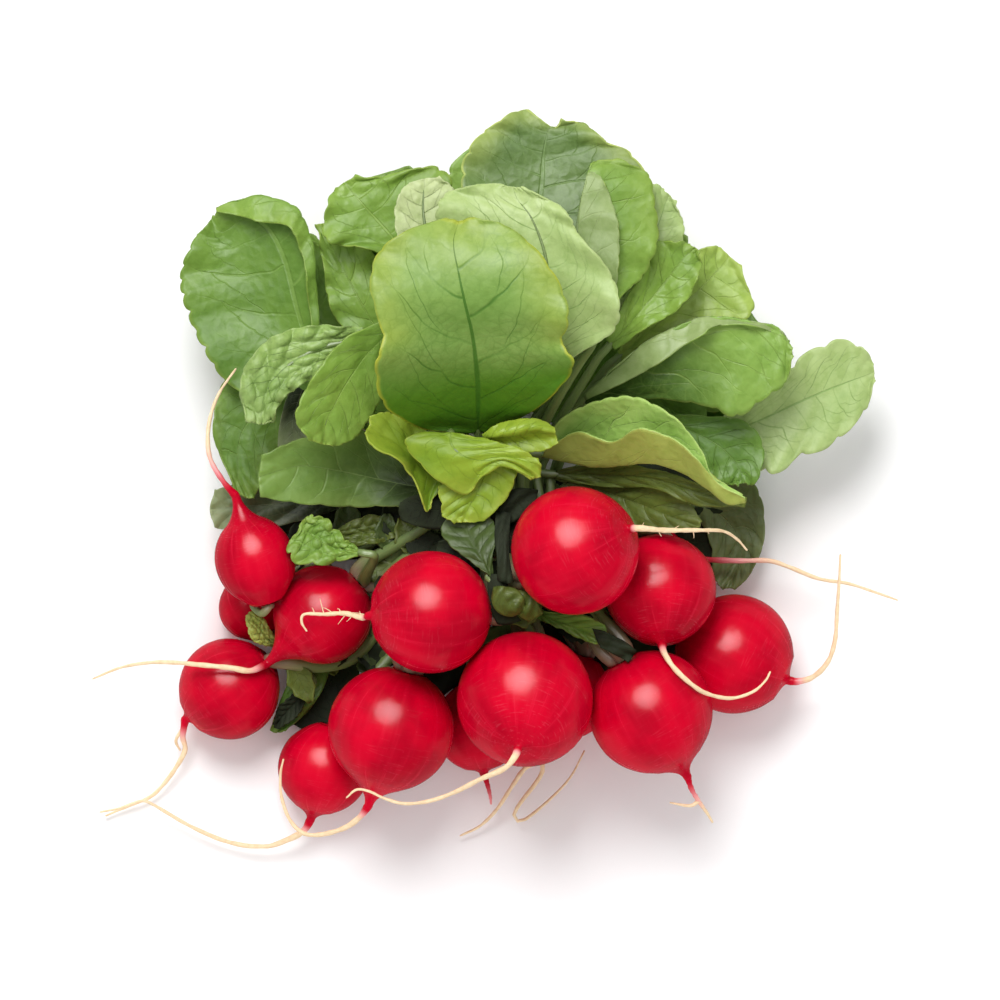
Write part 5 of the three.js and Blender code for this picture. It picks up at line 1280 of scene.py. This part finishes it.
print("a stalk is", 2 * STALK_RADII[0], "mm thick at the crown and", 2 * STALK_RADII[2], "at the blade")

# %% [markdown]
# ## Leaflets on the stalks
# Their greens are near-black: painted shade for the dark gaps.
# A radish leaf has small lobes down its stalk, each a crumpled little leaf of its own. Between the
# roots and the fan they fill the room between the stalks, so that no light comes through there.
# Each one is a small sheet that starts on the stalk, leans forward and lies against what is near.

# %% Room between the roots
ROOT_CLEARANCE = 0.4


def off_the_roots(points):
    """Pushes points out of the round roots."""
    for spec in RADISHES.values():
        middle, size = radish_size(spec)[:2]
        size += ROOT_CLEARANCE
        way = points - middle
        far = np.linalg.norm(way, axis=-1, keepdims=True)
        points = np.where(far < size, middle + way / np.maximum(far, 1e-6) * size, points)
    return points


def over_a_root(points):
    """Whether a sheet would lie on top of a round root, where leaflets don't belong."""
    for spec in RADISHES.values():
        middle, size = radish_size(spec)[:2]
        near = np.hypot(points[..., 0] - middle[0], points[..., 1] - middle[1]) < size * 0.9
        if np.any(near & (points[..., 2] > middle[2] - 0.2 * size)):
            return True
    return False


def crumpled(height, rng, u, t, count, across, lengthways, size):
    """A sheet's heights with a few waves that run over it in chance directions."""
    for _ in range(count):
        a, b = rng.uniform(*across), rng.uniform(*lengthways)
        height = height + size * np.sin(a * u[:, None] + b * t[None] + rng.uniform(0, 6.3))
    return height


inside = radish_size(RADISHES[8])[0] + [1.0, 0, 0]
print("a point inside a root is moved by", round(float(length_of([inside, off_the_roots(inside)])), 1), "mm")

# %% One leaflet
LEAFLET_LENGTHS, LEAFLET_HALVES, LEAFLET_DROOPS = (8.5, 14), (2.8, 4.6), (0.5, 2.5)
LEAFLET_COLUMNS, LEAFLET_ROWS, LEAFLET_LEAST_HEIGHT = 9, 11, 0.5
# The leaflets' greens are near-black: painted shade for the dark gaps between the stalks.
LEAFLET_SHADE_GREENS = [("painted_shade", "shade"), ("shade", "painted_shade"), ("painted_shade", "painted_shade"), ("olive", "shade")]


def leaflet(name, line, spot, side, rng):
    """One small lobe of a leaf at a spot along its stalk, or nothing where there is no room."""
    i = int(spot * (len(line) - 2))
    start, ahead = line[i], unit(line[i + 1] - line[i])
    out = np.cross(ahead, [0, 0, 1.0])
    out *= side / max(np.linalg.norm(out), 1e-6)
    way = unit(ahead * rng.uniform(0.3, 0.9) + out + np.array([0, 0, rng.uniform(-0.15, 0.2)]))
    wide = unit(np.cross(way, [0, 0, 1.0]))
    length, half = rng.uniform(*LEAFLET_LENGTHS), rng.uniform(*LEAFLET_HALVES)
    u, t = np.linspace(-1, 1, LEAFLET_COLUMNS), np.linspace(0, 1, LEAFLET_ROWS)
    shape = np.sin(np.pi * np.clip(t, 0.02, 0.97) ** 0.85) ** 0.6
    shape = shape * (1 + 0.12 * np.sin(t * 19 + rng.uniform(0, 6)))
    points = start + way * length * t[None, :, None] + wide * (u[:, None] * half * shape[None])[..., None]
    cup = 0.9 * np.abs(u)[:, None] ** 1.5 * np.ones(len(t))
    lift = cup - rng.uniform(*LEAFLET_DROOPS) * t[None] ** 2
    points[..., 2] += crumpled(lift, rng, u, t, 5, (2, 5), (7, 17), 0.22)
    points[..., 2] = np.maximum(points[..., 2], LEAFLET_LEAST_HEIGHT)
    if over_a_root(points):
        return None
    piece, _ = sheet(name, off_the_roots(points))
    finish_blade(piece, LEAFLET_SHADE_GREENS[rng.integers(len(LEAFLET_SHADE_GREENS))])
    return piece


print("pairs of greens for leaflets:", len(LEAFLET_SHADE_GREENS))

# %% All leaflets of a leaf
LEAFLET_STEP, LEAFLET_SPOTS = 7.5, 60
LEAFLETS_FROM, LEAFLETS_TO = 0.12, 0.8
SHORT_STALK = 25
band_front = min((nodes["tie_band"].matrix_world @ v.co).y for v in nodes["tie_band"].data.vertices) / MM


def leaflets(name, line, rng):
    """Leaflets on alternate sides of a stalk, on the part of it that lies in front of the band."""
    length = length_of(line)
    if length <= SHORT_STALK:
        return []
    found = []
    line = even(along(line, np.linspace(0, 1, LINE_STEPS)), LEAFLET_SPOTS)
    for k, spot in enumerate(np.arange(LEAFLETS_FROM, LEAFLETS_TO, LEAFLET_STEP / length)):
        if line[int(spot * (LEAFLET_SPOTS - 2)), 1] < band_front:
            found.append(leaflet(f"{name}_lobe_{k}", line, spot + rng.uniform(-0.02, 0.02), (-1) ** k, rng))
    return [piece for piece in found if piece]


print("the band's front is at", round(band_front, 1), "mm")

# %% [markdown]
# ## Lobes at known places
# In a few gaps a lobe of a leaf shows at a place that no chance should decide: over the band's
# two ends, and deep between the stalks. Each runs through three given curves, as a blade
# does, and belongs to the leaf whose stalk lies nearest.
# Most of these lobes take the near-black green: they are painted shade, dark sheets put where the heap lies
# in shade.

# %% Where these lobes lie
# Lobes in the near-black green are painted shade for the dark gaps between the stalks.
SET_LOBES = {
    "leaf_03_a": [("painted_shade", [
        [[448, 497, 39.5], [430, 494, 40], [412, 496, 39.5], [400, 503, 39]],
        [[450, 510, 39], [432, 510, 39.8], [414, 511, 39.2], [399, 512, 38.6]],
        [[452, 528, 38], [434, 529, 38.5], [416, 526, 38.5], [402, 520, 38]]])],
    "leaf_04_b": [("painted_shade", [
        [[486, 506, 40], [500, 494, 41], [520, 488, 41], [538, 490, 40]],
        [[487, 514, 39.5], [502, 508, 40.5], [520, 502, 40.5], [536, 500, 40]],
        [[490, 524, 38.5], [504, 524, 39], [518, 520, 39], [530, 512, 38.5]]])],
    "leaf_04_a": [
        ("painted_shade", [
            [[496, 512, 41], [495, 535, 46], [497, 558, 48.5], [498, 580, 48.5]],
            [[504, 512, 41.5], [503, 535, 47], [505, 558, 49.5], [507, 583, 49.5]],
            [[511, 514, 41], [509, 535, 46], [509, 558, 48.5], [513, 582, 48.5]]]),
        ("painted_shade", [
            [[488, 574, 46.5], [488, 590, 46.5], [490, 608, 45.5], [498, 624, 43.5]],
            [[497, 574, 48], [497, 592, 48], [501, 609, 46], [509, 624, 44]],
            [[507, 578, 48], [508, 594, 47.5], [513, 609, 45.5], [521, 620, 43.5]]]),
        ("olive", [
            [[494, 586, 49], [492, 597, 49.5], [494, 607, 49], [502, 614, 47.5], [512, 616, 46]],
            [[504, 586, 50], [505, 594, 51], [508, 601, 50], [513, 608, 49.4], [519, 613, 46.5]],
            [[514, 588, 49], [520, 592, 50], [523, 598, 49], [525, 604, 48.4], [524, 611, 46.5]]]),
        ("olive", [
            [[511, 592, 47], [514, 604, 47], [519, 614, 46], [528, 621, 44]],
            [[519, 590, 48.4], [526, 600, 48], [530, 609, 47], [536, 617, 44.5]],
            [[527, 592, 47], [535, 599, 47.6], [539, 606, 46], [543, 613, 44.5]]])],
    "leaf_02_d": [("moth", [
        [[294, 384, 36], [286, 402, 34], [280, 424, 33], [278, 452, 33.5]],
        [[303, 390, 37], [297, 406, 35.5], [293, 426, 34.5], [294, 454, 34.5]],
        [[313, 396, 38], [309, 412, 36.5], [308, 430, 35.5], [312, 454, 35.5]]])],
    "leaf_07_a": [
        ("painted_shade", [
            [[592, 628, 40], [606, 632, 40.2], [622, 640, 39.5], [636, 650, 38.5]],
            [[596, 638, 40], [608, 642, 40.2], [620, 649, 39.5], [632, 657, 38.5]],
            [[600, 647, 39.5], [610, 652, 39.5], [620, 657, 39], [628, 662, 38.3]]]),
        ("painted_shade", [
            [[590, 462, 26], [625, 458, 26], [665, 460, 26], [700, 470, 26]],
            [[592, 476, 25], [627, 472, 25], [665, 474, 25], [702, 482, 25]],
            [[594, 492, 24], [628, 488, 24], [664, 490, 24], [698, 494, 24]]])],
    "leaf_11_b": [
        ("fern", [
            [[297, 662, 8], [284, 690, 8.6], [274, 716, 8], [269, 732, 7]],
            [[312, 662, 9], [302, 690, 9.4], [289, 714, 8.8], [275, 734, 7]],
            [[330, 664, 8], [322, 690, 8.4], [305, 714, 8], [284, 732, 7]]]),
        ("painted_shade", [
            [[290, 668, 5], [310, 664, 5], [335, 660, 5], [358, 662, 5]],
            [[289, 690, 4], [310, 692, 4], [335, 686, 4], [358, 682, 4]],
            [[288, 724, 3], [314, 735, 3], [335, 722, 3], [354, 702, 3]]])],
    "leaf_12_b": [("painted_shade", [
        [[236, 513, 6], [290, 503, 6.5], [350, 498, 7], [412, 502, 8]],
        [[240, 536, 5], [290, 531, 5.5], [350, 528, 6], [412, 526, 7]],
        [[252, 556, 4], [292, 562, 4.5], [350, 560, 5], [408, 552, 6]]])],
    "leaf_13_a": [("painted_shade", [
        [[392, 640, 9], [430, 632, 9], [470, 630, 9], [502, 634, 9]],
        [[394, 660, 8], [430, 655, 8], [470, 652, 8], [506, 655, 8]],
        [[400, 688, 7], [430, 704, 7], [452, 690, 7], [478, 679, 7], [505, 682, 7]]])],
    "leaf_14_b": [("painted_shade", [
        [[531, 604, 8], [572, 604, 8], [620, 607, 8], [684, 616, 8]],
        [[534, 626, 7], [572, 628, 7], [620, 636, 7], [685, 644, 7]],
        [[538, 650, 5], [572, 653, 4.5], [606, 678, 5], [640, 677, 6], [682, 664, 6]]])],
    "leaf_14_c": [("painted_shade", [
        [[672, 512, 8], [690, 508, 8], [712, 508, 8], [732, 512, 8]],
        [[676, 540, 6], [694, 542, 6], [714, 543, 6], [734, 542, 6]],
        [[690, 566, 5], [702, 576, 5], [716, 580, 5], [734, 576, 5]]])],
}
print("lobes at known places:", sum(len(lobes) for lobes in SET_LOBES.values()))

# %% One lobe at a known place
LOBE_COLUMNS, LOBE_ROWS, LOBE_CRUMPLE = 13, 15, 0.3


def set_lobe(name, green, curves, rng):
    """A lobe through three given curves, from its left edge to its right."""
    u, t = np.linspace(0, 1, LOBE_COLUMNS), np.linspace(0, 1, LOBE_ROWS)
    x_y_h = along(np.stack([along(curve, t) for curve in curves]), u)
    x, y = grid_mm(x_y_h[..., 0], x_y_h[..., 1])
    points = np.stack([x, y, x_y_h[..., 2]], -1) + shift
    points[..., 2] = crumpled(points[..., 2], rng, u, t, 4, (4, 12), (6, 16), LOBE_CRUMPLE)
    piece, _ = sheet(name, points)
    finish_blade(piece, (green, green))
    return piece


print("corners on such a lobe:", LOBE_COLUMNS * LOBE_ROWS)


# %% A whole leaf
def leaf_piece(name, leaf, seed):
    rng = np.random.default_rng(seed)
    leaf = {**PLAIN_LEAF, **leaf, **(UNDER_LEAF if "sweep" in leaf else {}), **SURFACE.get(name, {})}
    line = stalk_line(name, crown_of(int(name[5:7])))
    parts = [blade_sheet(name, leaf, rng), stalk_tube(name, leaf, line)]
    parts += leaflets(name, line, rng)
    for k, (green, curves) in enumerate(SET_LOBES.get(name, [])):
        parts.append(set_lobe(f"{name}_set_{k}", green, curves, rng))
    piece = join(parts)
    piece.name = name + "_leaf"
    smooth(piece)
    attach(piece, "root")
    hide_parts(name)
    return piece


# %% All the leaves
total = 0
for seed, (name, leaf) in enumerate(LEAVES.items()):
    total += len(leaf_piece(name, leaf, seed + 11).data.polygons)
print("leaves:", len(LEAVES), "with", total, "faces")

# %% [markdown]
# ## The band
# The band is a plain rubber band. Its shape in the frame is right, so it only gets a finish:
# tan rubber with fine specks and a dull sheen.

# %% The band's rubber
rubber, rubber_tree, rubber_shader = new_finish("band_rubber")
specks = noise(rubber_tree, in_space(rubber_tree), 800.0, 3.0)
rubber_colour = mixed(rubber_tree, specks, paint("c39a66"), paint("a37c4c"))
rubber_tree.links.new(rubber_colour, rubber_shader.inputs["Base Color"])
raise_by(rubber_tree, rubber_shader, specks, 0.5, 0.0002)
rubber_tree.links.new(ramp(rubber_tree, specks, 0.2, 0.8, 0.5, 0.7), rubber_shader.inputs["Roughness"])
band = nodes["tie_band"]
dress(band, [rubber])
print("band finish on", band.name)

# %% [markdown]
# ## Floor, light and camera
# The bunch lies on a white table in a white room, under a large soft light that stands behind the
# leaves. A second lamp at the same place lights nothing but the gloss: it is broad, so the shine
# on each radish is broad and soft too. A faint low lamp in front stands for what the table throws
# back onto the lower sides. The camera looks straight down from far away.

# %% The floor
FLOOR_WHITE, FLOOR_IN_GLOSS = 0.93, 0.3
FLOOR_SIZE, FLOOR_AT = 6, -0.0001

bpy.ops.object.select_all(action="DESELECT")
bpy.ops.mesh.primitive_plane_add(size=FLOOR_SIZE, location=(0, 0, FLOOR_AT))
floor = bpy.context.object
floor.name = "table"
paper = bpy.data.materials.new("table_white")
paper.use_nodes = True
paper_shader = paper.node_tree.nodes["Principled BSDF"]
seen_by = wire(paper.node_tree, "ShaderNodeLightPath")
shade = mixed(paper.node_tree, seen_by.outputs["Is Glossy Ray"], (*[FLOOR_WHITE] * 3, 1),
              (*[FLOOR_IN_GLOSS] * 3, 1))
paper.node_tree.links.new(shade, paper_shader.inputs["Base Color"])
paper_shader.inputs["Roughness"].default_value = 0.9
paper_shader.inputs["Specular IOR Level"].default_value = 0.1
dress(floor, [paper])
print("floor:", floor.name)


# %% Lights
def soft_light(name, at, aim, size, power):
    light = bpy.data.lights.new(name, "AREA")
    light.shape = "DISK"
    light.size = size
    light.energy = power
    lamp = bpy.data.objects.new(name, light)
    bpy.context.scene.collection.objects.link(lamp)
    lamp.location = at
    lamp.rotation_euler = (Vector(aim) - Vector(at)).to_track_quat("-Z", "Y").to_euler()
    return lamp


BEHIND, HEAP = (-0.2, 0.75, 1.25), (0, 0, 0.03)
IN_FRONT, RADISH_SIDE = (0.15, -1.1, 0.2), (0, -0.03, 0.03)
KEY_SIZE, KEY_POWER = 0.7, 16.6
SHINE_SIZE, SHINE_POWER = 1.3, 72
FRONT_SIZE, FRONT_POWER = 0.6, 1.8

soft_light("key", BEHIND, HEAP, KEY_SIZE, KEY_POWER)
shine = soft_light("shine", BEHIND, HEAP, SHINE_SIZE, SHINE_POWER)
shine.visible_diffuse = False
front = soft_light("front", IN_FRONT, RADISH_SIDE, FRONT_SIZE, FRONT_POWER)
front.visible_glossy = False

# %% The white room
ROOM_LIGHT, ROOM_GLOSS = 0.78, 0.02
room = bpy.data.worlds.new("white_room")
bpy.context.scene.world = room
room.use_nodes = True
sky = room.node_tree
backdrop = sky.nodes["Background"]
rays = wire(sky, "ShaderNodeLightPath")
level = mixed(sky, rays.outputs["Is Glossy Ray"], (*[ROOM_LIGHT] * 3, 1), (*[ROOM_GLOSS] * 3, 1))
level = mixed(sky, rays.outputs["Is Camera Ray"], level, (1, 1, 1, 1))
sky.links.new(level, backdrop.inputs["Color"])
bpy.context.scene.view_settings.view_transform = "Standard"
print("the room gives", ROOM_LIGHT, "of full white")

# %% Camera
VIEW_CENTRE, VIEW_WIDTH, AIM_HEIGHT = (500.0, 500.0), 1000.0, 30.0
DISTANCE, SENSOR, FARTHEST = 4.0, 36, 20
eye = bpy.data.cameras.new("camera")
camera = bpy.data.objects.new("camera", eye)
bpy.context.scene.collection.objects.link(camera)
centre = place([*VIEW_CENTRE, AIM_HEIGHT]) * MM
camera.location = (centre[0], centre[1], centre[2] + DISTANCE)
camera.rotation_euler = (0, 0, 0)
eye.sensor_width = SENSOR
eye.lens = SENSOR * DISTANCE / (VIEW_WIDTH * PLAN_SQUARE * MM)
eye.clip_end = FARTHEST
bpy.context.scene.camera = camera
print("lens:", round(eye.lens, 1))
